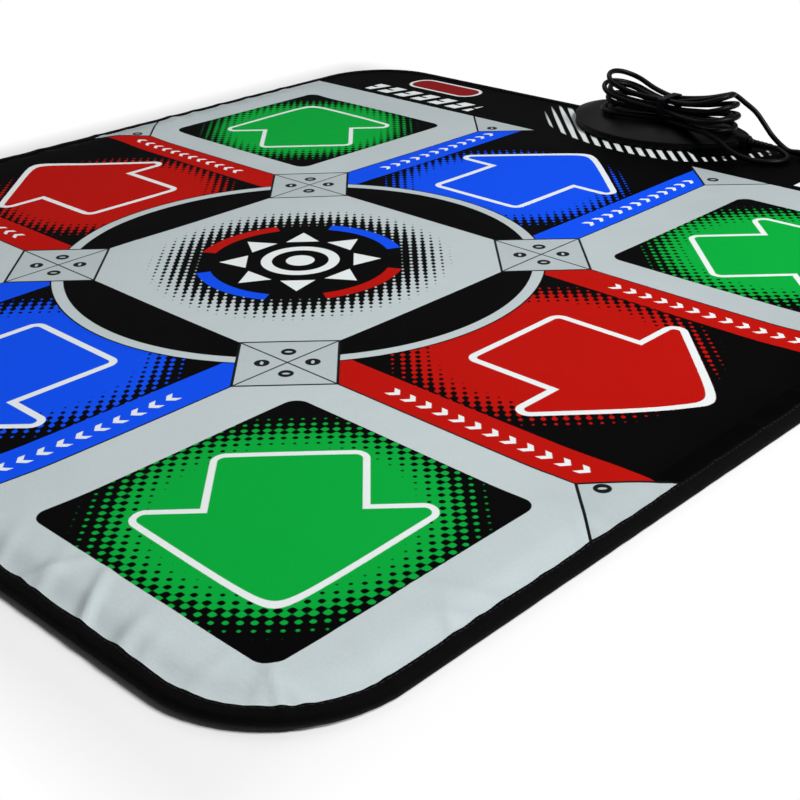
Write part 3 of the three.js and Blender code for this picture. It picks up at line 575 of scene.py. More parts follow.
@dataclass(frozen=True)
class Crescent:
    """White dashes round the control box, in millimetres. Side is -1 at its left and 1 at its right."""

    centre_y: float = 517.0
    box_radius: float = 104.0
    pitch: float = 12.9
    phase: float = 0.79
    outer: tuple[float, float, float] = (121.9, 7.4, 29.7)
    outer_limit: tuple[float, float] = (138.0, -4.5)
    gap: float = 18.0
    gap_side: float = 0.64
    gap_soft: float = 0.06
    right_level: tuple[float, float] = (0.52, 0.38)
    right_side: tuple[float, float] = (0.4, 0.35)
    left_level: float = 0.88
    left_fall: float = 36.0
    left_side: tuple[float, float] = (-0.35, -0.25)
    dash_soft: float = 0.3
    edge_soft: float = 1.6
    end: float = 486.0
    end_soft: float = 6.0
    white: float = 0.88

    def mask(self, graph: Graph, u: Num, v: Num) -> Num:
        """How white the print is: dashes that all lean one way and lie closest at the left.

        Args:
            graph: The material's nodes.
            u: Place from side to side.
            v: Place from near to far.

        Returns:
            The mask.
        """
        reach = length_of(u, v - self.centre_y)
        side = u / reach
        wave = (((u + v) / self.pitch - self.phase) * (2 * math.pi)).cosine() * 0.5 + 0.5
        least, tilt, bow = self.outer
        limit, fall = self.outer_limit
        outer = (side * side * bow + side * tilt + least).least(side * fall + limit)
        inner = side.above(self.gap_side, self.gap_soft) * self.gap + self.box_radius
        from_side, over_side = self.right_side
        full, drop = self.right_level
        right = full - ((side - from_side) / over_side).clamped() * drop
        left = self.left_level - (reach - self.box_radius) / self.left_fall
        from_side, over_side = self.left_side
        level = graph.blend(right, left, ((side - from_side) / over_side).clamped())
        dash = (wave + level).above(1.0, self.dash_soft)
        band = (outer - reach).above(0.0, self.edge_soft) * (reach - inner).above(0.0, self.edge_soft)
        return dash * band * v.below(self.end, self.end_soft) * self.white


@dataclass(frozen=True)
class PrintedVinyl:
    """The mat's printed design on embossed vinyl, in millimetres from the middle of its square grid."""

    grid_middle_y: float
    name: str = "printed_vinyl"
    edge: float = 0.5
    sharp: float = 0.1
    line_width: float = 1.3
    ring_radius: float = 186.5
    ring_width: float = 8.5
    corner_x: float = 268.0
    corner_y: float = 256.0
    corner_half: float = 95.0
    corner_glow: tuple[float, float] = (66.0, 115.0)
    arm_middle: float = 245.0
    arm_glow: tuple[float, float] = (72.0, 115.0)
    centre_glow: tuple[float, float] = (72.0, 122.0)
    screen_pitch: float = 9.6
    arm_lean: float = 0.05
    centre_lean: float = 0.08
    glow_range: tuple[float, float] = (-0.3, 1.3)
    glow_gain: float = 1.3
    glow_cut: float = 1.15
    glow_soft: float = 0.16
    plate_half: float = 47.0
    half_plate: float = 40.0
    side_screw: tuple[float, float] = (26.0, 5.0)
    end_screw: tuple[float, float] = (3.0, 22.0)
    screw_offset: float = 11.7
    screw_radius: float = 5.1
    slot_half: tuple[float, float] = (2.5, 1.2)
    slot_soft: float = 0.3
    side_edge: float = 404.0
    near_edge: float = 385.0
    strip_line: float = 398.5
    button_x: float = 272.0
    button_y: float = 466.0
    button_half: tuple[float, float] = (47.0, 18.5)
    button_stroke: float = 3.4
    emboss_waves: float = 900.0
    emboss_shade: float = 0.12
    emboss_depth_mm: float = 0.04
    emboss_gloss: float = 0.08
    crinkle_waves: float = 34.0
    crinkle_depth_mm: float = 0.55
    worn_waves: float = 14.0
    worn_gloss: float = 0.22
    broad_detail: float = 4.0
    roughness: float = 0.28
    silver_roughness: float = 0.05
    silver_metallic: float = 0.5
    specular: float = 0.01
    arrow: ArrowShape = field(default_factory=ArrowShape)
    emblem: Emblem = field(default_factory=Emblem)
    chevrons: Chevrons = field(default_factory=Chevrons)
    blocks: Blocks = field(default_factory=Blocks)
    crescent: Crescent = field(default_factory=Crescent)

    @staticmethod
    def rectangle(x: Num, y: Num, half_x: float, half_y: float, radius: float) -> Num:
        """Signed distance to a rectangle with round corners about the middle.

        Args:
            x: The place's first part.
            y: Its second part.
            half_x: Half the rectangle's width.
            half_y: Half its height.
            radius: Its corners' radius.

        Returns:
            The distance, below zero inside.
        """
        from_x = abs(x) - (half_x - radius)
        from_y = abs(y) - (half_y - radius)
        outside = length_of(from_x.most(0.0), from_y.most(0.0))
        return outside + from_x.most(from_y).least(0.0) - radius

    def screen(self, u: Num, v: Num, lean: float) -> Num:
        """The halftone screen.

        Args:
            u: Place from side to side.
            v: Place from near to far.
            lean: How much more the dots join up along one diagonal than the other.

        Returns:
            The screen's height, from 0 to 1.
        """
        pace = 2 * math.pi / self.screen_pitch
        rising = ((u + v) * pace).cosine() * (0.25 + lean)
        falling = ((u - v) * pace).cosine() * (0.25 - lean)
        return rising + falling + 0.5

    def glow(self, screen: Num, distance: Num, reach: tuple[float, float]) -> Num:
        """A mask that fades in dots.

        Args:
            screen: The halftone screen.
            distance: Distance from the glow's middle.
            reach: Where it starts to fade, and where it ends.

        Returns:
            The mask.
        """
        level = (reach[1] - distance) / (reach[1] - reach[0])
        low, high = self.glow_range
        return (screen + level.least(high).most(low) * self.glow_gain).above(self.glow_cut, self.glow_soft)

    def screw(self, x: Num, y: Num) -> tuple[Num, Num]:
        """A printed screw head.

        Args:
            x: Place from its middle, side to side.
            y: Place from its middle, near to far.

        Returns:
            A mask of its dark disc, and one of the light slot in it.
        """
        disc = length_of(x, y).below(self.screw_radius, self.edge)
        along = (x - y) * (DIAGONAL / self.slot_half[0])
        across = (x + y) * (DIAGONAL / self.slot_half[1])
        return disc, length_of(along, across).below(1.0, self.slot_soft)

    def strip(self, graph: Graph, u: Num, v: Num) -> object:
        """The far strip: black, with both ovals and under each a row of plain blocks.

        Args:
            graph: The material's nodes.
            u: Place from side to side.
            v: Place from near to far.

        Returns:
            The strip's colour.
        """
        soft = self.edge
        across = abs(u)
        colour = graph.mix(Ink.BLACK.value, Ink.WHITE.value, self.blocks.mask(across, v, soft))
        place = (across - self.button_x, v - self.button_y)
        oval = self.rectangle(*place, *self.button_half, BUTTON_RADIUS)
        colour = graph.mix(colour, Ink.WHITE.value, oval.below(0.0, soft))
        return graph.mix(colour, Ink.BUTTON.value, oval.below(-self.button_stroke, soft))

    def plates(self, graph: Graph, colour: object, across: Num, up: Num, v: Num) -> tuple[object, Num]:
        """The four cross plates and the half plates at the ends of the cell lines, with their screws.

        Args:
            graph: The material's nodes.
            colour: The print under the plates.
            across: Distance from the middle line, side to side.
            up: Distance from the middle line, near to far.
            v: Place from near to far.

        Returns:
            The colour with the plates, and a mask of their silver.
        """
        soft = self.edge
        x = across - CELL_LINE
        y = up - CELL_LINE
        whole = abs(x) + abs(y)
        end = (self.strip_line - v).least(v + self.near_edge)
        side = abs(y) + (self.side_edge - across) + (self.plate_half - self.half_plate)
        far = abs(x) + end + (self.plate_half - self.half_plate)
        nearest = whole.least(side).least(far)
        plate = nearest.below(self.plate_half, soft)
        colour = graph.mix(colour, Ink.PLATE.value, plate)
        rim = abs(nearest - self.plate_half).below(self.line_width, soft)
        cross = abs(x).least(abs(y)).below(self.line_width / 2, soft) * whole.below(self.plate_half, soft)
        colour = graph.mix(colour, Ink.LINE.value, rim.most(cross))
        places = (
            (abs(x) - self.screw_offset, abs(y) - self.screw_offset),
            (across - (self.side_edge - self.side_screw[0]), y + self.side_screw[1]),
            (x + self.end_screw[0], end - self.end_screw[1]),
        )
        for place in places:
            disc, slot = self.screw(*place)
            colour = graph.mix(graph.mix(colour, Ink.LINE.value, disc), Ink.PLATE.value, slot)
        return colour, plate

    def cell(self, graph: Graph, u: Num, v: Num, hue: object) -> tuple[object, Num]:
        """The print inside the eight arrow cells, and a mask of where they lie.

        Args:
            graph: The material's nodes.
            u: Place from side to side.
            v: Place from near to far.
            hue: The ink of an edge cell.

        Returns:
            The cells' colour, and the mask.
        """
        soft = self.edge
        across, up = abs(u), abs(v)
        m, n = across.most(up), across.least(up)
        upright = (up - across).above(0.0, self.sharp)
        corner = n.above(CELL_LINE, self.sharp)
        cell_x = across - self.corner_x
        cell_y = up - self.corner_y
        square = self.rectangle(cell_x, cell_y, self.corner_half, self.corner_half, PANEL_RADIUS)
        arm = n.below(CELL_LINE, soft) * m.above(CELL_LINE, soft)
        band = n.above(CELL_LINE - BAND_WIDTH, soft) * arm

        arrow = self.arrow.distance(graph, m, n, cell_x, cell_y, upright, corner)
        from_middle = length_of(m - self.arm_middle, n)
        arm_ink = self.glow(self.screen(u, v, self.arm_lean), from_middle, self.arm_glow)
        corner_ink = self.glow(self.screen(u, v, 0.0), length_of(cell_x, cell_y), self.corner_glow)
        ink = graph.blend(arm_ink, corner_ink, corner).most(arrow.below(0.0, soft)).most(band)
        colour = graph.mix(Ink.BLACK.value, graph.mix(hue, Ink.GREEN.value, corner), ink)
        half_stroke = graph.blend(self.arrow.stroke / 2, self.arrow.corner_stroke / 2, corner)
        stroke = (half_stroke - abs(arrow + half_stroke)).above(0.0, soft)
        marks = self.chevrons.mask(m, n - (CELL_LINE - BAND_WIDTH / 2), soft) * (1 - corner)
        return graph.mix(colour, Ink.WHITE.value, stroke.most(marks)), arm.most(square.below(0.0, soft))

    def design(self, graph: Graph) -> tuple[object, Num]:
        """The whole print.

        Args:
            graph: The material's nodes.

        Returns:
            The printed colour, and a mask of the silver ink.
        """
        soft = self.edge
        x, y, _ = graph.parts()
        u = x / MM
        v = y / MM - self.grid_middle_y / MM
        across, up = abs(u), abs(v)
        m, n = across.most(up), across.least(up)
        r = length_of(u, v)
        hue = graph.mix(Ink.RED.value, Ink.BLUE.value, (up - across).above(0.0, self.sharp))

        disc = self.glow(self.screen(u, v, self.centre_lean), r, self.centre_glow)
        colour = graph.mix(Ink.SILVER.value, Ink.BLACK.value, disc)
        white, arcs = self.emblem.masks(r, m, n, soft)
        colour = graph.mix(graph.mix(colour, hue, arcs), Ink.WHITE.value, white)
        printed, region = self.cell(graph, u, v, hue)
        colour = graph.mix(colour, printed, region)
        lines = abs(n - CELL_LINE).below(self.line_width / 2, soft) * m.above(CELL_LINE, soft)
        colour = graph.mix(colour, Ink.LINE.value, lines)
        ring = m.above(CELL_LINE, soft) * r.below(self.ring_radius + self.line_width, soft)
        colour = graph.mix(colour, Ink.BLACK.value, ring)
        rim = abs(r - self.ring_radius + self.ring_width / 2).below(self.ring_width / 2, soft) * ring
        colour = graph.mix(colour, Ink.SILVER.value, rim)
        colour, plate = self.plates(graph, colour, across, up, v)
        on_strip = v.above(self.strip_line, soft)
        colour = graph.mix(colour, self.strip(graph, u, v), on_strip)
        colour = graph.mix(colour, Ink.WHITE.value, self.crescent.mask(graph, u, v))
        silver = (1 - region) * (1 - disc * m.below(CELL_LINE, soft)) * (1 - ring)
        return colour, silver.most(rim).most(plate) * (1 - on_strip)

    def material(self) -> bpy.types.Material:
        """The material: the print, a fine emboss, and a crinkle that shows in the silver."""
        graph = FinishGraph(self.name)
        colour, silver = self.design(graph)
        emboss = graph.noise(self.emboss_waves)
        crinkle = graph.noise(self.crinkle_waves, self.broad_detail)
        worn = graph.noise(self.worn_waves, self.broad_detail)
        shaded = graph.mix(colour, (0.0, 0.0, 0.0), (emboss * self.emboss_shade).clamped())
        gloss = worn * self.worn_gloss + emboss * self.emboss_gloss + silver * self.silver_roughness
        normal = graph.bump(crinkle, self.crinkle_depth_mm * MM)
        return graph.finish(
            Base_Color=shaded,
            Roughness=(gloss + self.roughness).clamped(),
            Metallic=silver * self.silver_metallic,
            Specular_IOR_Level=self.specular,
            Normal=graph.bump(emboss, self.emboss_depth_mm * MM, normal),
        )


# Meshes

# Share of a grid's pitch that stays free beside an outline
CLEARANCE = 0.4
# Points nearer than this are one point, in a new sheet and in a CAD solid
SHEET_WELD = 1e-7
SOLID_WELD = 0.002 * MM
# Lengths too short to divide by, on the mat and on the cord, and the square of such a length
SHORT = 1e-9
SHORT_SPAN = 1e-6
SHORT_SQUARE = 1e-12
# Faces of a CAD solid that turn by less than this many degrees are one face
FLAT_ANGLE = 0.6
# Edges sharper than this many degrees are rounded, and stay sharp in the shading
EDGE_ANGLE = 32.0
SHEET_EDGE_ANGLE = 40.0
BINDING_EDGE_ANGLE = 60.0
BEVEL_SEGMENTS = 2


def arc(x: float, y: float, radius: float, start: float, end: float, steps: int) -> Plan:
    """Points of an arc.

    Args:
        x: Its centre's x.
        y: Its centre's y.
        radius: Its radius.
        start: Where it starts, in degrees.
        end: Where it ends.
        steps: How many parts it has.

    Returns:
        The points, both ends included.
    """
    angles = [math.radians(start + (end - start) * i / steps) for i in range(steps + 1)]
    return [(x + radius * math.cos(a), y + radius * math.sin(a)) for a in angles]


def rounded_rectangle(half_x: float, half_y: float, radius: float, steps: int) -> Plan:
    """A rectangle with round corners about the middle.

    Args:
        half_x: Half its width.
        half_y: Half its height.
        radius: Its corners' radius.
        steps: How many parts each corner has.

    Returns:
        Its points, anticlockwise.
    """
    x, y = half_x - radius, half_y - radius
    corners = ((x, y, 0), (-x, y, 90), (-x, -y, 180), (x, -y, 270))
    return [p for cx, cy, start in corners for p in arc(cx, cy, radius, start, start + 90, steps)]


def moved(plan: Plan, turn: int, x: float, y: float) -> Plan:
    """Points turned by quarter turns about the middle and then moved."""
    cos, sin = ((1, 0), (0, 1), (-1, 0), (0, -1))[turn % 4]
    return [(cos * px - sin * py + x, sin * px + cos * py + y) for px, py in plan]


def inside(points: np.ndarray, plan: Plan) -> np.ndarray:
    """Finds the points that lie inside a closed outline.

    Args:
        points: The points.
        plan: The outline.

    Returns:
        True for each point that lies inside.
    """
    found = np.zeros(len(points), bool)
    for (ax, ay), (bx, by) in zip(plan, plan[1:] + plan[:1]):
        if ay == by:
            continue
        crosses = (ay > points[:, 1]) != (by > points[:, 1])
        found ^= crosses & (points[:, 0] < (bx - ax) * (points[:, 1] - ay) / (by - ay) + ax)
    return found


def distance_to(points: np.ndarray, plan: Plan) -> np.ndarray:
    """Measures points from a closed outline.

    Args:
        points: The points.
        plan: The outline.

    Returns:
        Each point's distance.
    """
    least = np.full(len(points), np.inf)
    for a, b in zip(plan, plan[1:] + plan[:1]):
        start, step = np.array(a), np.array(b) - np.array(a)
        share = np.clip((points - start) @ step / max(float(step @ step), SHORT_SQUARE), 0, 1)
        least = np.minimum(least, np.linalg.norm(points - start - share[:, None] * step, axis=1))
    return least


def resampled(plan: Plan, pitch: float) -> Plan:
    """Adds points to a closed outline.

    Args:
        plan: The outline.
        pitch: The most that two neighbours may lie apart.

    Returns:
        The outline with its added points.
    """
    points = []
    for (ax, ay), (bx, by) in zip(plan, plan[1:] + plan[:1]):
        parts = max(1, math.ceil(math.dist((ax, ay), (bx, by)) / pitch))
        points += [(ax + (bx - ax) * i / parts, ay + (by - ay) * i / parts) for i in range(parts)]
    return points


def linked(name: str, mesh: bpy.types.Mesh) -> bpy.types.Object:
    """A new object in the scene for a mesh."""
    piece = bpy.data.objects.new(name, mesh)
    bpy.context.scene.collection.objects.link(piece)
    return piece


def plain(piece: bpy.types.Object) -> bpy.types.Object:
    """Makes a piece's modifiers into its own mesh.

    Args:
        piece: The piece, which is removed.

    Returns:
        The new piece, under the same name.
    """
    evaluated = piece.evaluated_get(bpy.context.evaluated_depsgraph_get())
    mesh = bpy.data.meshes.new_from_object(evaluated)
    name = piece.name
    bpy.data.objects.remove(piece)
    mesh.name = name
    return linked(name, mesh)


def smooth(piece: bpy.types.Object, angle: float) -> None:
    """Shades a piece smoothly, with a sharp edge where faces turn by more than an angle in degrees."""
    piece.data.shade_smooth()
    piece.data.set_sharp_from_angle(angle=math.radians(angle))


def flat_sheet(
    name: str, outline: Plan, holes: Sequence[Plan], grids: Sequence[tuple[float, Callable]],
    top: Callable[[np.ndarray], np.ndarray], thickness: float,
) -> bpy.types.Object:
    """A sheet of one thickness whose top follows a surface.

    Args:
        name: The piece's name.
        outline: Its outer outline.
        holes: Outlines of its windows.
        grids: Pitches of its inner points, each with a test of where that pitch is used.
        top: Height of the top at an array of places.
        thickness: How thick the sheet is.

    Returns:
        The piece, a closed mesh.
    """
    loops = [resampled(loop, grids[-1][0]) for loop in (outline, *holes)]
    places: list[np.ndarray] = [np.array(loop) for loop in loops]
    corner_low = np.min(places[0], axis=0)
    corner_high = np.max(places[0], axis=0)
    for pitch, wanted in grids:
        xs = np.arange(corner_low[0] + pitch / 2, corner_high[0], pitch)
        ys = np.arange(corner_low[1] + pitch / 2, corner_high[1], pitch)
        grid = np.stack(np.meshgrid(xs, ys), -1).reshape(-1, 2)
        grid = grid[wanted(grid)]
        keep = inside(grid, loops[0]) & (distance_to(grid, loops[0]) > CLEARANCE * pitch)
        for hole in loops[1:]:
            keep &= ~inside(grid, hole) & (distance_to(grid, hole) > CLEARANCE * pitch)
        places.append(grid[keep])
    edges = []
    first = 0
    for loop in loops:
        edges += [(first + i, first + (i + 1) % len(loop)) for i in range(len(loop))]
        first += len(loop)
    points = [Vector(p) for p in np.concatenate(places)]
    found, _, faces, *_ = delaunay_2d_cdt(points, edges, [], 0, SHEET_WELD)
    flat = np.array([tuple(p) for p in found])
    corners = np.array(faces)
    middles = flat[corners].mean(axis=1)
    keep = inside(middles, loops[0])
    for hole in loops[1:]:
        keep &= ~inside(middles, hole)
    corners = corners[keep]
    a, b, c = (flat[corners[:, i]] for i in range(3))
    turned = (b[:, 0] - a[:, 0]) * (c[:, 1] - a[:, 1]) - (b[:, 1] - a[:, 1]) * (c[:, 0] - a[:, 0]) < 0
    corners[turned] = corners[turned][:, ::-1]
    mesh = bpy.data.meshes.new(name)
    mesh.from_pydata(np.column_stack([flat, top(flat)]).tolist(), [], corners.tolist())
    piece = linked(name, mesh)
    solid = piece.modifiers.new("thickness", "SOLIDIFY")
    solid.thickness = thickness
    solid.offset = -1
    solid.use_rim = True
    piece = plain(piece)
    smooth(piece, SHEET_EDGE_ANGLE)
    return piece


def swept(name: str, rings: np.ndarray) -> bpy.types.Object:
    """A closed skin over a loop of rings.

    Args:
        name: The piece's name.
        rings: The rings, each a closed loop of points.

    Returns:
        The piece.
    """
    count, size, _ = rings.shape
    faces = []
    for i in range(count):
        for j in range(size):
            here, following, beside = i * size, (i + 1) % count * size, (j + 1) % size
            faces.append((here + j, following + j, following + beside, here + beside))
    mesh = bpy.data.meshes.new(name)
    mesh.from_pydata(rings.reshape(-1, 3).tolist(), [], faces)
    shape = bmesh.new()
    shape.from_mesh(mesh)
    bmesh.ops.recalc_face_normals(shape, faces=shape.faces)
    shape.to_mesh(mesh)
    shape.free()
    return linked(name, mesh)


def refined(node: str, name: str, bevel_mm: float = 0.0) -> bpy.types.Object:
    """A smooth copy of a CAD node, which stands for it.

    Args:
        node: The CAD node.
        name: The copy's name.
        bevel_mm: How wide its edges are rounded, if at all.

    Returns:
        The copy.
    """
    shape = bmesh.new()
    shape.from_mesh(bpy.data.objects[node].data)
    bmesh.ops.remove_doubles(shape, verts=shape.verts, dist=SOLID_WELD)
    flat = math.radians(FLAT_ANGLE)
    bmesh.ops.dissolve_limit(shape, angle_limit=flat, verts=shape.verts, edges=shape.edges)
    mesh = bpy.data.meshes.new(name)
    shape.to_mesh(mesh)
    shape.free()
    piece = linked(name, mesh)
    if bevel_mm:
        bevel = piece.modifiers.new("rounded edges", "BEVEL")
        bevel.width = bevel_mm * MM
        bevel.segments = BEVEL_SEGMENTS
        bevel.limit_method = "ANGLE"
        bevel.angle_limit = math.radians(EDGE_ANGLE)
        piece = plain(piece)
    smooth(piece, EDGE_ANGLE)
    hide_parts(node)
    return piece


def dressed(
    piece: bpy.types.Object, material: bpy.types.Material, body: str = ROOT,
) -> bpy.types.Object:
    """Dresses a new piece, sets it on its body and reports it.

    Args:
        piece: The piece.
        material: Its material.
        body: The body that it rides on.

    Returns:
        The piece.
    """
    piece.data.materials.clear()
    piece.data.materials.append(material)
    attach(piece, body)
    LOG.info("%s rides on %s", piece.name, body)
    return piece


# Geometry Nodes


class Repeat:
    """A Geometry Nodes tree that sets copies of a small mesh along a line or on points."""

    def __init__(self, name: str) -> None:
        """Starts the tree with its named inputs."""
        self.tree = bpy.data.node_groups.new(name, "GeometryNodeTree")
        self.inputs: dict[str, str] = {}
        self.socket("Line", "NodeSocketGeometry")
        self.socket("Unit", "NodeSocketObject")
        self.socket("Spacing", "NodeSocketFloat")
        self.socket("Material", "NodeSocketMaterial")
        self.tree.interface.new_socket("Geometry", in_out="OUTPUT", socket_type="NodeSocketGeometry")
        self.entry = self.tree.nodes.new("NodeGroupInput")

    def socket(self, name: str, kind: str) -> None:
        """Adds a named input and keeps its identifier."""
        made = self.tree.interface.new_socket(name, in_out="INPUT", socket_type=kind)
        self.inputs[name] = made.identifier

    def node(self, kind: str, links: dict[str, object], **settings: object) -> bpy.types.Node:
        """Adds a node.

        Args:
            kind: The node's type.
            links: Links or values of its inputs, by name.
            settings: Its own properties.

        Returns:
            The new node.
        """
        node = self.tree.nodes.new(kind)
        for key, value in settings.items():
            setattr(node, key, value)
        for key, value in links.items():
            if isinstance(value, bpy.types.NodeSocket):
                self.tree.links.new(value, node.inputs[key])
            else:
                node.inputs[key].default_value = value
        return node

    def close(self, points: bpy.types.NodeSocket, turn: bpy.types.NodeSocket | None) -> None:
        """Ends the tree: copies on the points, realized, with their material.

        Args:
            points: Where the copies go.
            turn: How each is turned, if at all.
        """
        unit = self.node("GeometryNodeObjectInfo", {"Object": self.entry.outputs["Unit"]})
        links = {"Points": points, "Instance": unit.outputs["Geometry"]}
        if turn is not None:
            links["Rotation"] = turn
        copies = self.node("GeometryNodeInstanceOnPoints", links)
        real = self.node("GeometryNodeRealizeInstances", {"Geometry": copies.outputs[0]})
        links = {"Geometry": real.outputs[0], "Material": self.entry.outputs["Material"]}
        dressed_copies = self.node("GeometryNodeSetMaterial", links)
        self.node("NodeGroupOutput", {"Geometry": dressed_copies.outputs[0]})

    def along_line(self) -> Repeat:
        """Sets the copies at an even spacing along a curve, turned to follow it, and gives the tree."""
        links = {"Curve": self.entry.outputs["Line"], "Length": self.entry.outputs["Spacing"]}
        points = self.node("GeometryNodeCurveToPoints", links, mode="LENGTH")
        self.close(points.outputs["Points"], points.outputs["Rotation"])
        return self

    def on_points(self) -> Repeat:
        """Sets the copies on the vertices of a mesh, and gives the tree."""
        points = self.node("GeometryNodeMeshToPoints", {"Mesh": self.entry.outputs["Line"]})
        self.close(points.outputs["Points"], None)
        return self

    def build(
        self,
        base: bpy.types.Object,
        unit: bpy.types.Object,
        material: bpy.types.Material,
        spacing: float = 1.0,
    ) -> bpy.types.Object:
        """Makes the copies into one plain mesh.

        Args:
            base: The line or the points, which is used up.
            unit: The small mesh that is copied, which is removed.
            material: The copies' material.
            spacing: The distance between copies along a line.

        Returns:
            The piece, under the base's name.
        """
        modifier = base.modifiers.new("copies", "NODES")
        modifier.node_group = self.tree
        modifier[self.inputs["Unit"]] = unit
        modifier[self.inputs["Spacing"]] = spacing
        modifier[self.inputs["Material"]] = material
        base.update_tag()
        piece = plain(base)
        bpy.data.objects.remove(unit)
        return piece


def capsule(name: str, length: float, radius: float, sides: int) -> bpy.types.Object:
    """A small closed spindle that stands about the middle, for stitches and studs.

    Args:
        name: The object's name.
        length: Its height.
        radius: Its radius at its widest.
        sides: How many sides it has.

    Returns:
        The object.
    """
    shape = bmesh.new()
    made = []
    for share, size in ((-0.5, 0.35), (-0.3, 1.0), (0.3, 1.0), (0.5, 0.35)):
        angles = [2 * math.pi * i / sides for i in range(sides)]
        wide = radius * size
        places = [(wide * math.cos(a), wide * math.sin(a), length * share) for a in angles]
        made.append([shape.verts.new(place) for place in places])
    for low, high in zip(made, made[1:]):
        for i in range(sides):
            shape.faces.new((low[i], low[(i + 1) % sides], high[(i + 1) % sides], high[i]))
    shape.faces.new(made[0][::-1])
    shape.faces.new(made[-1])
    bmesh.ops.recalc_face_normals(shape, faces=shape.faces)
    mesh = bpy.data.meshes.new(name)
    shape.to_mesh(mesh)
    shape.free()
    mesh.shade_smooth()
    return linked(name, mesh)


# The mat


@dataclass
class Relief:
    """How the soft laminate rises above flat: slow waves, and puckers drawn in by the binding's seam."""

    half_x: float
    half_y: float
    radius: float
    seed: int = 7
    pucker_pitch: float = 27 * MM
    pucker_width: tuple[float, float] = (3.6 * MM, 7.0 * MM)
    pucker_height: tuple[float, float] = (0.4 * MM, 2.3 * MM)
    pucker_reach: tuple[float, float] = (15 * MM, 44 * MM)
    pucker_slant: float = 0.8
    pucker_spread: tuple[float, float] = (0.45, 1.55)
    seam_share: float = 0.3
    seam_width: float = 15 * MM
    roll_height: float = 1.9 * MM
    roll_start: float = 8 * MM
    roll_crest: float = 26 * MM
    roll_end: float = 85 * MM
    wave_height: float = 0.7 * MM
    wave_count: int = 9
    wave_length: tuple[float, float] = (0.14, 0.36)
    wave_sum: float = 7.0
    wave_power: float = 1.5
    wave_fade: float = 45 * MM
    quiet_low: tuple[float, float] = (-0.45, 0.35)
    quiet_high: tuple[float, float] = (0.45, 0.5)
    quiet_fade: float = 55 * MM
    puckers: list[tuple[float, ...]] = field(default_factory=list)
    waves: list[tuple[float, ...]] = field(default_factory=list)

    def __post_init__(self) -> None:
        """Draws the puckers and waves once, from the seed."""
        draw = random.Random(self.seed)
        place = 0.0
        limits = (self.pucker_width, self.pucker_height, self.pucker_reach)
        while place < self.perimeter:
            sizes = (draw.uniform(*limit) for limit in limits)
            self.puckers.append((place, *sizes, draw.uniform(-self.pucker_slant, self.pucker_slant)))
            place += self.pucker_pitch * draw.uniform(*self.pucker_spread)
        for _ in range(self.wave_count):
            angle = draw.uniform(0, math.pi)
            pace = 2 * math.pi / draw.uniform(*self.wave_length)
            phase = draw.uniform(0, 2 * math.pi)
            self.waves.append((pace * math.cos(angle), pace * math.sin(angle), phase))

    @property
    def quarter(self) -> float:
        """A quarter of the outline's length."""
        return self.half_x + self.half_y - 2 * self.radius + math.pi / 2 * self.radius

    @property
    def perimeter(self) -> float:
        """The outline's length."""
        return 4 * self.quarter

    def edge_place(self, points: np.ndarray) -> tuple[np.ndarray, np.ndarray]:
        """Finds places beside the outline.

        Args:
            points: The points.

        Returns:
            Where each lies along the outline, and how far in from it.
        """
        x, y = np.abs(points[:, 0]), np.abs(points[:, 1])
        hx, hy, r = self.half_x - self.radius, self.half_y - self.radius, self.radius
        in_corner = (x > hx) & (y > hy)
        angle = np.arctan2(np.maximum(y - hy, 0), np.maximum(x - hx, SHORT))
        on_side = self.half_x - x < self.half_y - y
        along_side = np.minimum(y, hy)
        along_end = hy + math.pi / 2 * r + (hx - np.minimum(x, hx))
        along = np.where(in_corner, hy + angle * r, np.where(on_side, along_side, along_end))
        from_edge = np.where(on_side, self.half_x - x, self.half_y - y)
        from_edge = np.where(in_corner, r - np.hypot(x - hx, y - hy), from_edge)
        quarter = self.quarter
        right, far = points[:, 0] >= 0, points[:, 1] >= 0
        along = np.where(far, np.where(right, along, 2 * quarter - along), along)
        along = np.where(~far & ~right, 2 * quarter + along, along)
        along = np.where(~far & right, 4 * quarter - along, along)
        return along, from_edge

    def height(self, points: np.ndarray) -> np.ndarray:
        """How far the surface rises.

        Args:
            points: An array of places.

        Returns:
            The rise at each.
        """
        along, from_edge = self.edge_place(points)
        rise = np.zeros(len(points))
        held = self.seam_share + (1 - self.seam_share) * self.eased(from_edge / self.seam_width)
        for place, width, height, reach, slant in self.puckers:
            off = along - place - slant * from_edge
            off = (off + self.perimeter / 2) % self.perimeter - self.perimeter / 2
            fall = np.exp(-((np.maximum(from_edge, 0) / reach) ** 2)) * held
            rise += height * np.exp(-((off / width) ** 2)) * fall
        total = np.zeros(len(points))
        for kx, ky, phase in self.waves:
            total += np.sin(points[:, 0] * kx + points[:, 1] * ky + phase)
        slow = self.wave_height * np.clip(0.5 + total / self.wave_sum, 0, 1) ** self.wave_power
        rise += slow * np.clip(from_edge / self.wave_fade, 0, 1)
        up = self.eased((from_edge - self.roll_start) / (self.roll_crest - self.roll_start))
        down = self.eased((from_edge - self.roll_crest) / (self.roll_end - self.roll_crest))
        rise += self.roll_height * up * (1 - down)
        return rise * self.loose(points)

    @staticmethod
    def eased(share: np.ndarray) -> np.ndarray:
        """A share kept from 0 to 1, with soft ends."""
        share = np.clip(share, 0, 1)
        return share * share * (3 - 2 * share)

    def loose(self, points: np.ndarray) -> np.ndarray:
        """How freely the sheet moves: not at all on the far strip, which carries the box and its cord."""
        low, high = np.array(self.quiet_low), np.array(self.quiet_high)
        away = np.linalg.norm(np.maximum(0, np.maximum(low - points, points - high)), axis=1)
        return self.eased(away / self.quiet_fade)


class PanelKind(Enum):
    """The three forms of a pressed panel."""

    EDGE = "edge"
    CORNER = "corner"
    BUTTON = "button"


@dataclass(frozen=True)
class Panel:
    """One panel of the cover that gives when pressed."""

    name: str
    kind: PanelKind
    slot: str
    turn: int = 0


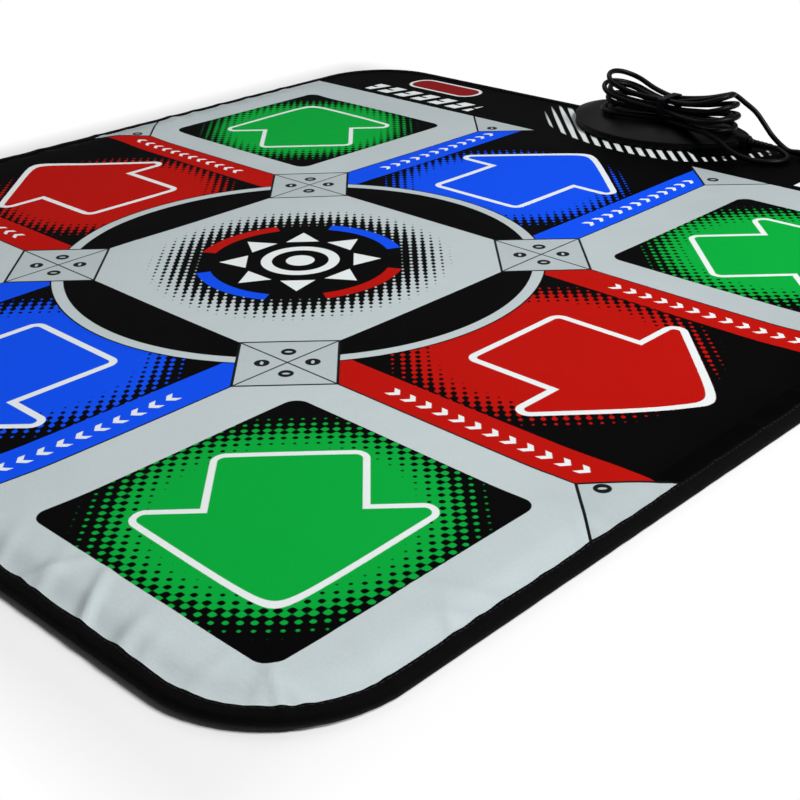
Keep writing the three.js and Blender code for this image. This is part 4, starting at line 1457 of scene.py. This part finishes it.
@dataclass
class Mat:
    """The laminate: printed cover with its panels, binding, backing and the foams that lift the panels."""

    printed: bpy.types.Material
    tape: bpy.types.Material
    thread: bpy.types.Material
    backing: bpy.types.Material
    foam: bpy.types.Material
    corner_radius: float = 80 * MM
    binding_lap: float = 8.5 * MM
    binding_nose: float = 2.4 * MM
    tape_thickness: float = 0.8 * MM
    cover_inset: float = 2.8 * MM
    sheet_steps: int = 14
    binding_foot: float = 0.55
    binding_swell: tuple[tuple[float, float], ...] = ((0.45, 0.15 * MM), (0.8, 0.05 * MM))
    binding_end: float = 0.35
    nose_turn: float = 1.45
    nose_points: int = 13
    stray_seed: int = 11
    stray_waves: int = 7
    stray_pace: tuple[int, int] = (30, 260)
    stray_phase: float = 6.28
    stray_sum: float = 5.0
    lap_stray: float = 0.35
    nose_stray: float = 0.18
    tape_pitch: float = 3 * MM
    tape_steps: int = 40
    seam_place: float = 0.76
    thread_lift: float = 0.12 * MM
    thread_radius: float = 0.34 * MM
    thread_sides: int = 6
    thread_steps: int = 30
    stitch_length: float = 3.1 * MM
    stitch_pitch: float = 4.2 * MM
    ring_reach: float = 190 * MM
    ring_steps: int = 40
    corner_steps: int = 3
    cad_gap: float = 0.4 * MM
    seam: float = 0.16 * MM
    coarse: float = 9 * MM
    fine: float = 3.2 * MM
    fine_reach: float = 58 * MM
    broad: float = 30 * MM
    stud_height: float = 0.35 * MM
    stud_overlap: float = 1.5
    stud_radius: float = 2.2 * MM
    stud_sides: int = 8
    stud_pitch: float = 13 * MM
    stud_inset: float = 6 * MM
    foam_keep: float = 0.1
    foam_fill: float = 0.3
    panels: tuple[Panel, ...] = (
        Panel("up", PanelKind.EDGE, "blue_panel", 0),
        Panel("left", PanelKind.EDGE, "red_panel", 1),
        Panel("down", PanelKind.EDGE, "blue_panel", 2),
        Panel("right", PanelKind.EDGE, "red_panel", 3),
        Panel("up_right", PanelKind.CORNER, "green_panel"),
        Panel("up_left", PanelKind.CORNER, "green_panel"),
        Panel("down_left", PanelKind.CORNER, "green_panel"),
        Panel("down_right", PanelKind.CORNER, "green_panel"),
        Panel("select", PanelKind.BUTTON, "button_panel"),
        Panel("start", PanelKind.BUTTON, "button_panel"),
    )

    def __post_init__(self) -> None:
        """Reads the mat's extent from the frame."""
        self.half_x, self.half_y, self.binding_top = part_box("edge_binding")[1]
        under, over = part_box("top_cover")
        self.cover_top = over.z
        self.cover_thickness = over.z - under.z
        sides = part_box("left_panel")
        self.grid_middle_y = (sides[0].y + sides[1].y) / 2
        self.relief = Relief(self.half_x, self.half_y, self.corner_radius)

    def outline(self, inset: float, steps: int) -> Plan:
        """The mat's outline, moved in from its edge."""
        radius = self.corner_radius - inset
        return rounded_rectangle(self.half_x - inset, self.half_y - inset, radius, steps)

    def panel_outline(self, panel: Panel, grow: float) -> Plan:
        """A panel's outline in its place.

        Args:
            panel: The panel.
            grow: How far the outline lies outside the CAD solid's.

        Returns:
            The outline.
        """
        low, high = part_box(f"{panel.name}_panel")
        x, y = (low.x + high.x) / 2, (low.y + high.y) / 2
        if panel.kind is PanelKind.EDGE:
            return moved(self.edge_outline(panel, grow), panel.turn, 0.0, self.grid_middle_y)
        radius = (PANEL_RADIUS if panel.kind is PanelKind.CORNER else BUTTON_RADIUS) * MM
        half_x, half_y = (high.x - low.x) / 2 + grow, (high.y - low.y) / 2 + grow
        shape = rounded_rectangle(half_x, half_y, radius - self.cad_gap + grow, self.corner_steps)
        return moved(shape, 0, x, y)

    def edge_outline(self, panel: Panel, grow: float) -> Plan:
        """The outline of a panel beside the ring, turned so that it lies above the ring.

        Args:
            panel: The panel.
            grow: How far the outline lies outside the CAD solid's.

        Returns:
            The outline, about the grid's middle.
        """
        low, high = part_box(f"{panel.name}_panel")
        far = {0: high.y - self.grid_middle_y, 1: -low.x, 2: self.grid_middle_y - low.y, 3: high.x}
        top = far[panel.turn] + grow
        half = (CELL_LINE - BAND_WIDTH) * MM - self.cad_gap + grow
        inner = self.ring_reach + self.cad_gap - grow
        corner = PANEL_RADIUS * MM - self.cad_gap + grow
        slant = math.degrees(math.acos(half / inner))
        return [
            *arc(half - corner, top - corner, corner, 0, 90, self.corner_steps),
            *arc(corner - half, top - corner, corner, 90, 180, self.corner_steps),
            *arc(0, 0, inner, 180 - slant, slant, self.ring_steps),
        ]

    def surface(self, points: np.ndarray) -> np.ndarray:
        """The height of the cover's top."""
        return self.cover_top + self.relief.height(points)

    def near_edge(self, points: np.ndarray) -> np.ndarray:
        """Where the sheet puckers and needs close points."""
        return self.relief.edge_place(points)[1] <= self.fine_reach

    def build(self) -> None:
        """Builds every piece of the laminate that shows."""
        cover = self.build_cover()
        binding = self.build_binding()
        stitches = self.build_stitches()
        size = (2 * self.half_x, 2 * self.half_y)
        corners_cut = (4 - math.pi) * self.corner_radius**2
        windows = sum(self.area_of(self.panel_outline(panel, self.cad_gap)) for panel in self.panels)
        area = size[0] * size[1] - corners_cut - windows
        for panel in self.panels:
            self.build_panel(panel)
        self.build_backing()

    @staticmethod
    def area_of(plan: Plan) -> float:
        """The area inside a closed outline."""
        return abs(sum(ax * by - bx * ay for (ax, ay), (bx, by) in zip(plan, plan[1:] + plan[:1]))) / 2

    @staticmethod
    def everywhere(points: np.ndarray) -> np.ndarray:
        """A grid's test that all points pass."""
        return np.ones(len(points), bool)

    def build_cover(self) -> bpy.types.Object:
        """The printed cover, with a window for each panel."""
        holes = [self.panel_outline(panel, self.cad_gap)[::-1] for panel in self.panels]
        grids = (
            (self.fine, self.near_edge),
            (self.coarse, lambda points: ~self.near_edge(points)),
        )
        outline = self.outline(self.cover_inset, self.sheet_steps)
        cover = flat_sheet("printed_cover", outline, holes, grids, self.surface, self.cover_thickness)
        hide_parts("top_cover")
        return dressed(cover, self.printed)

    def build_panel(self, panel: Panel) -> None:
        """One panel's printed face, and the foam under it.

        Args:
            panel: The panel.
        """
        outline = self.panel_outline(panel, self.cad_gap - self.seam)
        pitch = self.fine if panel.kind is PanelKind.BUTTON else self.coarse
        grids = ((pitch, self.everywhere),)
        name = f"{panel.name}_print"
        face = flat_sheet(name, outline, (), grids, self.surface, self.cover_thickness)
        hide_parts(f"{panel.name}_panel")
        dressed(face, self.printed, panel.name)
        foam = refined(f"{panel.name}_return_foam", f"{panel.name}_foam_pad")
        dressed(foam, self.foam)
        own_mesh(foam)

    def build_backing(self) -> None:
        """The non-slip backing: a thin sheet with rows of small round studs that stand on the floor.
        """
        low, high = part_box("backing_sheet")
        pitch = self.stud_pitch
        tall = self.stud_height * self.stud_overlap
        outline = self.outline(self.binding_lap + self.cad_gap, self.sheet_steps)
        grids = ((self.broad, self.everywhere),)
        sheet = flat_sheet(
            "grip_backing", outline, (), grids, lambda points: np.full(len(points), high.z),
            high.z - self.stud_height,
        )
        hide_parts("backing_sheet")
        dressed(sheet, self.backing)
        xs = np.arange(low.x + pitch, high.x, pitch)
        ys = np.arange(low.y + pitch, high.y, pitch)
        grid = np.array([(x + (j % 2) * pitch / 2, y) for j, y in enumerate(ys) for x in xs])
        grid = grid[inside(grid, outline) & (distance_to(grid, outline) > self.stud_inset)]
        mesh = bpy.data.meshes.new("grip_studs")
        mesh.from_pydata([(x, y, tall / 2) for x, y in grid], [], [])
        unit = capsule("stud", tall, self.stud_radius, self.stud_sides)
        studs = Repeat("studs").on_points().build(linked("grip_studs", mesh), unit, self.backing)
        dressed(studs, self.backing)

    def binding_section(self) -> Plan:
        """The tape's section: how far in from the edge and how high each of its points lies."""
        lap, nose, thick = self.binding_lap, self.binding_nose, self.tape_thickness
        middle = self.binding_top / 2
        top = 2 * middle
        turns = np.linspace(-self.nose_turn, self.nose_turn, self.nose_points)
        return [
            (lap, 0.0),
            (lap * self.binding_foot, 0.0),
            *((nose * (1 - math.cos(a)), middle * (1 + math.sin(a))) for a in turns),
            *((lap * share, top + rise) for share, rise in self.binding_swell),
            (lap, top - thick * self.binding_end),
            (lap, top - thick),
            (nose + thick, top - thick),
            (nose + thick, thick),
            (lap, thick),
        ]

    def stray(self, count: int) -> np.ndarray:
        """How far the tape strays on its way round the mat, as a sum of waves.

        Args:
            count: The number of places round the mat.

        Returns:
            The stray at each place, from about -1 to 1.
        """
        draw = random.Random(self.stray_seed)
        places = np.arange(count)
        total = np.zeros(count)
        for _ in range(self.stray_waves):
            phase = draw.uniform(0, self.stray_phase)
            total += np.sin(places * (2 * math.pi * draw.randint(*self.stray_pace) / count) + phase)
        return total / self.stray_sum

    def build_binding(self) -> bpy.types.Object:
        """The edge binding: a tape folded over the edge, swelling a little on its top lap."""
        lap, nose = self.binding_lap, self.binding_nose
        middle = self.binding_top / 2
        line = np.array(resampled(self.outline(0.0, self.tape_steps), self.tape_pitch))
        inward = np.roll(line, 1, 0) - np.roll(line, -1, 0)
        inward = np.stack([inward[:, 1], -inward[:, 0]], -1)
        inward /= np.linalg.norm(inward, axis=1)[:, None]
        stray = self.stray(len(line))
        section = self.binding_section()
        rings = np.zeros((len(line), len(section), 3))
        for j, (inset, z) in enumerate(section):
            share = max(0.0, inset - nose) / (lap - nose)
            shift = inset + stray * MM * (self.lap_stray * share - self.nose_stray * (1 - share))
            place = line + inward * shift[:, None]
            upper = min(1.0, max(0.0, (z / middle - 1) * 2))
            rings[:, j, :2] = place
            rings[:, j, 2] = z + self.relief.height(place) * upper
        binding = swept("sewn_binding", rings)
        smooth(binding, BINDING_EDGE_ANGLE)
        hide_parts("edge_binding")
        return dressed(binding, self.tape)

    def build_stitches(self) -> bpy.types.Object:
        """The seam's thread along the binding's top lap."""
        inset = self.binding_lap * self.seam_place
        line = np.array(resampled(self.outline(inset, self.thread_steps), self.tape_pitch))
        rise = self.relief.height(line)
        curve = bpy.data.curves.new("seam_stitches", "CURVE")
        curve.dimensions = "3D"
        spline = curve.splines.new("POLY")
        spline.points.add(len(line) - 1)
        spline.use_cyclic_u = True
        for point, place, lift in zip(spline.points, line, rise):
            point.co = (*place, self.binding_top + self.thread_lift + lift, 1.0)
        base = bpy.data.objects.new("seam_stitches", curve)
        bpy.context.scene.collection.objects.link(base)
        unit = capsule("stitch", self.stitch_length, self.thread_radius, self.thread_sides)
        stitches = Repeat("stitches").along_line().build(base, unit, self.thread, self.stitch_pitch)
        return dressed(stitches, self.thread)


# The cord


@dataclass
class Cord:
    """The cord's whole route: from the box's port to the hank, through its turns and on to the plug.

    Lengths are millimetres. The routes give x from the middle, y from the box's centre, and height.
    """

    jacket: bpy.types.Material
    diameter: float = 5.0
    hank_x: float = 20.0
    hank_from_box: float = -50.5
    run_length: float = 100.0
    fold_radius: float = 15.0
    waist_offset: float = 4.5
    turn_gap: float = 0.9
    layer_gap: float = 0.6
    fan_share: float = 1.1
    runs: int = 12
    runs_per_layer: int = 3
    run_shares: tuple[float, ...] = (1, 0.6, 0.1, -0.1, -0.6, -1)
    fold_steps: int = 7
    tie_thickness: float = 1.2
    tie_clearance: float = 0.3
    seat_gap: float = 0.3
    point_pitch: float = 2.0
    round_steps: int = 4
    tie_bevel: float = 0.35
    boot_bevel: float = 0.4
    plug_bevel: float = 0.5
    box_centre_beyond_edge: float = 13.5
    lead_route: tuple[tuple[float, ...], ...] = (
        (137, -38.9, 11),
        (145.5, -43.9, 9.6),
        (150, -52, 9.3),
        (149.5, -61.5, 9.2),
        (143, -70, 9.2),
        (131, -75.3, 9.3),
        (117, -76.9, 10.8),
        (104, -76.7, 14.2),
        (92, -75.5, 20),
    )
    tail_route: tuple[tuple[float, ...], ...] = (
        (89, -26.5, 44.8),
        (99, -25.1, 38.2),
        (108, -24.4, 29),
        (117.5, -24.9, 19.8),
        (128.5, -27.1, 13.4),
    )

    def __post_init__(self) -> None:
        """Reads from the frame what the route starts from and ends at. The port is in metres."""
        self.box_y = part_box("edge_binding")[1].y / MM + self.box_centre_beyond_edge
        low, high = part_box("strain_relief")
        self.port = Vector((high.x, (low.y + high.y) / 2, (low.z + high.z) / 2))
        low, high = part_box("plug_boot")
        self.plug = Vector((low.x, (low.y + high.y) / 2, (low.z + high.z) / 2)) / MM
        box_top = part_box("box_cover")[1].z / MM
        self.bottom = box_top + 2 * self.tie_clearance + self.tie_thickness + self.diameter / 2
        self.turn_pitch = self.diameter + self.turn_gap
        self.layer_pitch = self.diameter + self.layer_gap
        self.reach = self.run_length / 2 + self.fold_radius + self.turn_pitch * self.runs_per_layer / 2

    def run_radius(self, run: int) -> float:
        """How far from the hank's middle line a run lies."""
        away = abs(self.runs_per_layer - run % (2 * self.runs_per_layer))
        return self.fold_radius + self.turn_pitch / 2 * away

    def layer_at(self, run: int, share: float) -> float:
        """The layer in which a run lies.

        Args:
            run: The run's number, from 0.
            share: The share of its length, from 0 to 1.

        Returns:
            The layer's number there, which rises where the run climbs to the next.
        """
        below = max(0, (run - 1) // self.runs_per_layer)
        if run > 0 and run % self.runs_per_layer == 0:
            return below + share * share * (3 - 2 * share)
        return below

    def hank_point(self, x: float, y: float, layer: float) -> Vector:
        """A point of the hank, whose layers fan apart towards the folds.

        Args:
            x: Place along the hank, from its middle.
            y: Place across it.
            layer: The layer's number.

        Returns:
            The point.
        """
        fan = 1 + self.fan_share * (x / self.reach) ** 2
        level = self.bottom + layer * self.layer_pitch * fan
        return Vector((self.hank_x + x, self.box_y + self.hank_from_box + y, level))

    def hank_points(self) -> list[Vector]:
        """The hank's points from its first run to its last."""
        half = self.run_length / 2
        straight = half * min(abs(share) for share in self.run_shares)
        squeeze = self.fold_radius - self.waist_offset
        points = []
        for run in range(self.runs):
            side = 1 if run % 2 == 0 else -1
            for share in self.run_shares if run == 0 else self.run_shares[1:]:
                x = side * half * share
                open_share = min(1.0, max(0.0, (abs(x) - straight) / (half - straight)))
                waist = squeeze * (1 - open_share * open_share * (3 - 2 * open_share))
                layer = self.layer_at(run, (1 - share) / 2)
                points.append(self.hank_point(x, -side * (self.run_radius(run) - waist), layer))
            if run == self.runs - 1:
                break
            for i in range(1, self.fold_steps + 1):
                angle = math.pi * i / self.fold_steps
                from_radius, to_radius = self.run_radius(run), self.run_radius(run + 1)
                turn = from_radius + (to_radius - from_radius) * i / self.fold_steps
                x = -side * (half + turn * math.sin(angle))
                points.append(self.hank_point(x, -side * turn * math.cos(angle), self.layer_at(run, 1)))
        return points

    def route(self) -> list[Vector]:
        """All points that the cord passes, in millimetres."""
        start = self.port / MM + Vector((self.seat_gap, 0, 0))
        lead = [start, start + Vector((self.diameter, 0, 0))]
        lead += [Vector((x, self.box_y + y, z)) for x, y, z in self.lead_route]
        hank = self.hank_points()
        opening = hank[0] + (hank[0] - hank[1]).normalized() * self.diameter
        ending = hank[-1] + (hank[-1] - hank[-2]).normalized() * self.diameter
        tail = [Vector((x, self.box_y + y, z)) for x, y, z in self.tail_route]
        end = self.plug - Vector((self.seat_gap, 0, 0))
        return [*lead, opening, *hank, ending, *tail, end - Vector((self.diameter, 0, 0)), end]

    @staticmethod
    def smoothed(points: list[Vector], pitch: float) -> list[Vector]:
        """Draws a smooth curve through points.

        Args:
            points: The points that it passes.
            pitch: The most that two neighbours on it lie apart.

        Returns:
            The curve's points.
        """
        padded = [2 * points[0] - points[1], *points, 2 * points[-1] - points[-2]]
        line = []
        for p0, p1, p2, p3 in zip(padded, padded[1:], padded[2:], padded[3:]):
            pairs = ((p0, p1), (p1, p2), (p2, p3))
            spans = [max((b - a).length, SHORT_SPAN) ** 0.5 for a, b in pairs]
            t1, t2 = spans[0], spans[0] + spans[1]
            t3 = t2 + spans[2]
            parts = max(1, math.ceil((p2 - p1).length / pitch))
            for i in range(parts):
                t = t1 + (t2 - t1) * i / parts
                a1 = p0 * ((t1 - t) / t1) + p1 * (t / t1)
                a2 = p1 * ((t2 - t) / (t2 - t1)) + p2 * ((t - t1) / (t2 - t1))
                a3 = p2 * ((t3 - t) / (t3 - t2)) + p3 * ((t - t2) / (t3 - t2))
                b1 = a1 * ((t2 - t) / t2) + a2 * (t / t2)
                b2 = a2 * ((t3 - t) / (t3 - t1)) + a3 * ((t - t1) / (t3 - t1))
                line.append(b1 * ((t2 - t) / (t2 - t1)) + b2 * ((t - t1) / (t2 - t1)))
        return [*line, points[-1]]

    def build(self) -> None:
        """The cord as one curve, with the tie and the plug on it."""
        line = self.smoothed(self.route(), self.point_pitch)
        curve = bpy.data.curves.new("cord", "CURVE")
        curve.dimensions = "3D"
        curve.bevel_depth = self.diameter / 2 * MM
        curve.bevel_resolution = self.round_steps
        curve.use_fill_caps = True
        spline = curve.splines.new("POLY")
        spline.points.add(len(line) - 1)
        for point, place in zip(spline.points, line):
            point.co = (*(place * MM), 1.0)
        spline.use_smooth = True
        cord = bpy.data.objects.new("cord", curve)
        bpy.context.scene.collection.objects.link(cord)
        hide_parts("cord_lead", "cord_hank", "cord_tail")
        dressed(cord, self.jacket)
        long = sum((b - a).length for a, b in zip(line, line[1:])) * MM
        LOG.info("cord is %.3f m long", long)
        tie = dressed(refined("cord_tie", "hank_tie", self.tie_bevel), self.jacket)
        boot = dressed(refined("plug_boot", "plug_collar", self.boot_bevel), self.jacket)
        body = dressed(refined("plug_body", "plug_grip", self.plug_bevel), self.jacket)
        self.diameter * MM


# The control box and what is inside


@dataclass
class ControlBox:
    """The half-round control box with its strain relief. Its bevels are millimetres."""

    housing: bpy.types.Material
    jacket: bpy.types.Material
    upper_bevel: float = 0.6
    lower_bevel: float = 0.3
    relief_bevel: float = 0.25

    def build(self) -> None:
        """Smooth shells with rounded edges over the CAD solids."""
        dressed(refined("box_cover", "box_upper_shell", self.upper_bevel), self.housing)
        dressed(refined("box_base", "box_lower_shell", self.lower_bevel), self.housing)
        dressed(refined("strain_relief", "cord_relief", self.relief_bevel), self.jacket)


def dress_inner(frame: dict, materials: dict[str, bpy.types.Material]) -> None:
    """Gives every CAD node that still shows the material of its slot.

    Args:
        frame: The frame, as it was loaded.
        materials: The materials, by slot.
    """
    slots = {row["node"]: row["material_slot"] for row in frame["record"]["subparts"]}
    for name, piece in frame["nodes"].items():
        if piece.hide_render:
            continue
        material = materials[slots[name]]
        if not piece.data.materials:
            piece.data.materials.append(material)
        for holder in piece.material_slots:
            holder.material = material
        LOG.info("%s keeps its solid", name)


# Studio


@dataclass(frozen=True)
class Lamp:
    """A square soft lamp that faces the mat: its place and side in metres, and its power in watts."""

    name: str
    place: tuple[float, float, float]
    size: float
    power: float

    def build(self) -> None:
        """Puts the lamp in the scene."""
        data = bpy.data.lights.new(self.name, "AREA")
        data.size = self.size
        data.energy = self.power
        lamp = bpy.data.objects.new(self.name, data)
        lamp.location = self.place
        lamp.rotation_mode = "QUATERNION"
        lamp.rotation_quaternion = (-Vector(self.place)).to_track_quat("-Z", "Y")
        bpy.context.scene.collection.objects.link(lamp)


@dataclass(frozen=True)
class Studio:
    """White surround, soft light and the photograph's camera."""

    eye: tuple[float, float, float] = (0.7451, -0.7109, 0.3848)
    heading_deg: float = 44.333
    pitch_deg: float = 26.796
    roll_deg: float = -1.029
    focal_pixels: float = 1373.7
    clip_start: float = 0.01
    floor_half: float = 6.0
    floor_drop: float = 0.3 * MM
    floor_colour: Colour = (0.96, 0.96, 0.96)
    white: Colour = (1.0, 1.0, 1.0)
    shadow_reach: float = 0.02
    shadow_fade: float = 0.045
    world_strength: float = 0.06
    world_in_gloss: float = 0.1
    lamps: tuple[Lamp, ...] = (
        Lamp("key", (1.4, 0.5, 1.8), 0.7, 52),
        Lamp("sheen", (-1.25, 1.05, 2.1), 2.3, 17),
        Lamp("underside", (0.4, -0.5, -1.9), 1.2, 28),
    )

    def camera(self) -> None:
        """The camera at the photograph's place and angle."""
        data = bpy.data.cameras.new("camera")
        data.sensor_width = SENSOR_WIDTH
        data.lens = self.focal_pixels / PHOTO_PIXELS * SENSOR_WIDTH
        data.clip_start = self.clip_start
        heading, pitch, roll = map(math.radians, (self.heading_deg, self.pitch_deg, self.roll_deg))
        flat = math.cos(pitch)
        forward = Vector((-math.sin(heading) * flat, math.cos(heading) * flat, -math.sin(pitch)))
        level = Vector((math.cos(heading), math.sin(heading), 0))
        upright = level.cross(forward)
        right = level * math.cos(roll) + upright * math.sin(roll)
        above = right.cross(forward)
        turn = Matrix((right, above, -forward)).transposed().to_4x4()
        camera = bpy.data.objects.new("camera", data)
        camera.matrix_world = Matrix.Translation(self.eye) @ turn
        bpy.context.scene.collection.objects.link(camera)
        bpy.context.scene.camera = camera

    def floor(self) -> None:
        """A white floor that keeps the mat's shadow, and that can be looked through from below."""
        half, level = self.floor_half, -self.floor_drop
        corners = [(x * half, y * half, level) for x, y in ((-1, -1), (1, -1), (1, 1), (-1, 1))]
        mesh = bpy.data.meshes.new("floor")
        mesh.from_pydata(corners, [], [(0, 1, 2, 3)])
        floor = linked("floor", mesh)
        graph = Graph(bpy.data.materials.new("floor"))
        paint = graph.add("ShaderNodeBsdfDiffuse", sockets={"Color": self.floor_colour})
        glow = graph.add("ShaderNodeEmission", sockets={"Color": self.white})
        x, y, _ = graph.parts()
        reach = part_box("edge_binding")[1]
        out_x, out_y = (abs(n + self.shadow_reach) - edge for n, edge in ((x, reach.x), (y, reach.y)))
        away = length_of(out_x.most(0.0), out_y.most(0.0))
        share = self.seen(graph, 1.0) * (away / self.shadow_fade).clamped()
        upper = self.mixed(graph, share, paint, glow)
        back = Num(graph, graph.add("ShaderNodeNewGeometry").outputs["Backfacing"])
        passing = back.most(self.ray(graph, "Is Shadow Ray"))
        both = self.mixed(graph, passing, upper, graph.add("ShaderNodeBsdfTransparent"))
        graph.add("ShaderNodeOutputMaterial", sockets={"Surface": both.outputs[0]})
        mesh.materials.append(graph.owner)

    @staticmethod
    def mixed(graph: Graph, share: Num, first: bpy.types.Node, second: bpy.types.Node) -> bpy.types.Node:
        """The first shader, or the second where share is 1."""
        sockets = {0: share, 1: first.outputs[0], 2: second.outputs[0]}
        return graph.add("ShaderNodeMixShader", sockets=sockets)

    @staticmethod
    def ray(graph: Graph, kind: str) -> Num:
        """1 for light rays of a kind, and 0 for the rest."""
        return Num(graph, graph.add("ShaderNodeLightPath").outputs[kind])

    def seen(self, graph: Graph, in_gloss: float) -> Num:
        """A mask of the rays that show the background.

        Args:
            graph: The nodes that it is used in.
            in_gloss: How much of the background shows in reflections.

        Returns:
            1 where the camera or glass sees it, that share in reflections, and 0 for light on things.
        """
        direct = self.ray(graph, "Is Camera Ray").most(self.ray(graph, "Is Transmission Ray"))
        return direct.most(self.ray(graph, "Is Glossy Ray") * in_gloss)

    def surround(self) -> None:
        """A white world that lights the mat only a little."""
        world = bpy.data.worlds.new("studio")
        graph = Graph(world)
        rest = 1 - self.world_strength
        strength = self.seen(graph, self.world_in_gloss) * rest + self.world_strength
        background = graph.add("ShaderNodeBackground", sockets={"Color": self.white, "Strength": strength})
        graph.add("ShaderNodeOutputWorld", sockets={"Surface": background.outputs[0]})
        bpy.context.scene.world = world

    def build(self) -> None:
        """Sets the whole studio up."""
        self.camera()
        self.floor()
        self.surround()
        for lamp in self.lamps:
            lamp.build()
        bpy.context.scene.view_settings.view_transform = "Standard"


def finishes() -> dict[str, bpy.types.Material]:
    """Makes the plain finishes. Their numbers are roughness, the grain's size and depth, and metallic.

    Returns:
        The materials, by name.
    """
    plain_ones = (
        Finish("cord_jacket", srgb(6, 6, 7), srgb(2, 2, 3), 0.42, 0.8, 0.01, specular=0.12),
        Finish("moulded_housing", srgb(6, 6, 7), srgb(2, 2, 3), 0.45, 0.5, 0.015, specular=0.1),
        Finish("open_foam", srgb(96, 96, 98), srgb(58, 58, 60), 0.9, 0.7, 0.2),
        Finish("grip_backing", srgb(66, 67, 52), srgb(40, 41, 32), 0.85, 1.1, 0.12),
        Finish("thread", srgb(20, 20, 21), srgb(8, 8, 9), 0.7, 0.3, 0.03, specular=0.2),
        Finish("dull_plastic", srgb(30, 30, 32), srgb(16, 16, 18), 0.6),
        Finish("plated_steel", srgb(198, 200, 203), srgb(150, 152, 156), 0.28, 0.4, 0.004, 1.0),
        Finish("frosted_film", srgb(206, 209, 202), srgb(186, 190, 184), 0.35),
        Finish("carbon_ink", srgb(46, 48, 52), srgb(28, 30, 34), 0.6),
        Finish("board_lacquer", srgb(22, 100, 52), srgb(12, 66, 34), 0.35, 1.4, 0.02),
        Finish("cream_plastic", srgb(228, 223, 206), srgb(206, 200, 182), 0.5),
    )
    return {finish.name: finish.material() for finish in plain_ones}


def main() -> None:
    """Loads the frame and builds the scene around it, sub-assembly by sub-assembly."""
    logging.basicConfig(level=logging.INFO, format="%(name)s: %(message)s")
    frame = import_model()
    Studio().build()

    made = finishes()
    tape = WovenTape().material()
    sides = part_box("left_panel")
    printed = PrintedVinyl((sides[0].y + sides[1].y) / 2).material()
    jacket, housing, dull = made["cord_jacket"], made["moulded_housing"], made["dull_plastic"]
    foam, backing = made["open_foam"], made["grip_backing"]

    Cord(jacket).build()
    Mat(printed, tape, made["thread"], backing, foam).build()
    ControlBox(housing, jacket).build()
    by_slot = {
        "printed_vinyl": printed, "foam": foam, "film": made["frosted_film"], "plate": dull,
        "contact_ink": made["carbon_ink"], "board": made["board_lacquer"], "chip": dull,
        "connector": made["cream_plastic"], "steel": made["plated_steel"], "cord_jacket": jacket,
        "housing": housing, "binding_tape": tape, "backing": backing,
    }
    dress_inner(frame, by_slot)


if __name__ == "__main__":
    main()
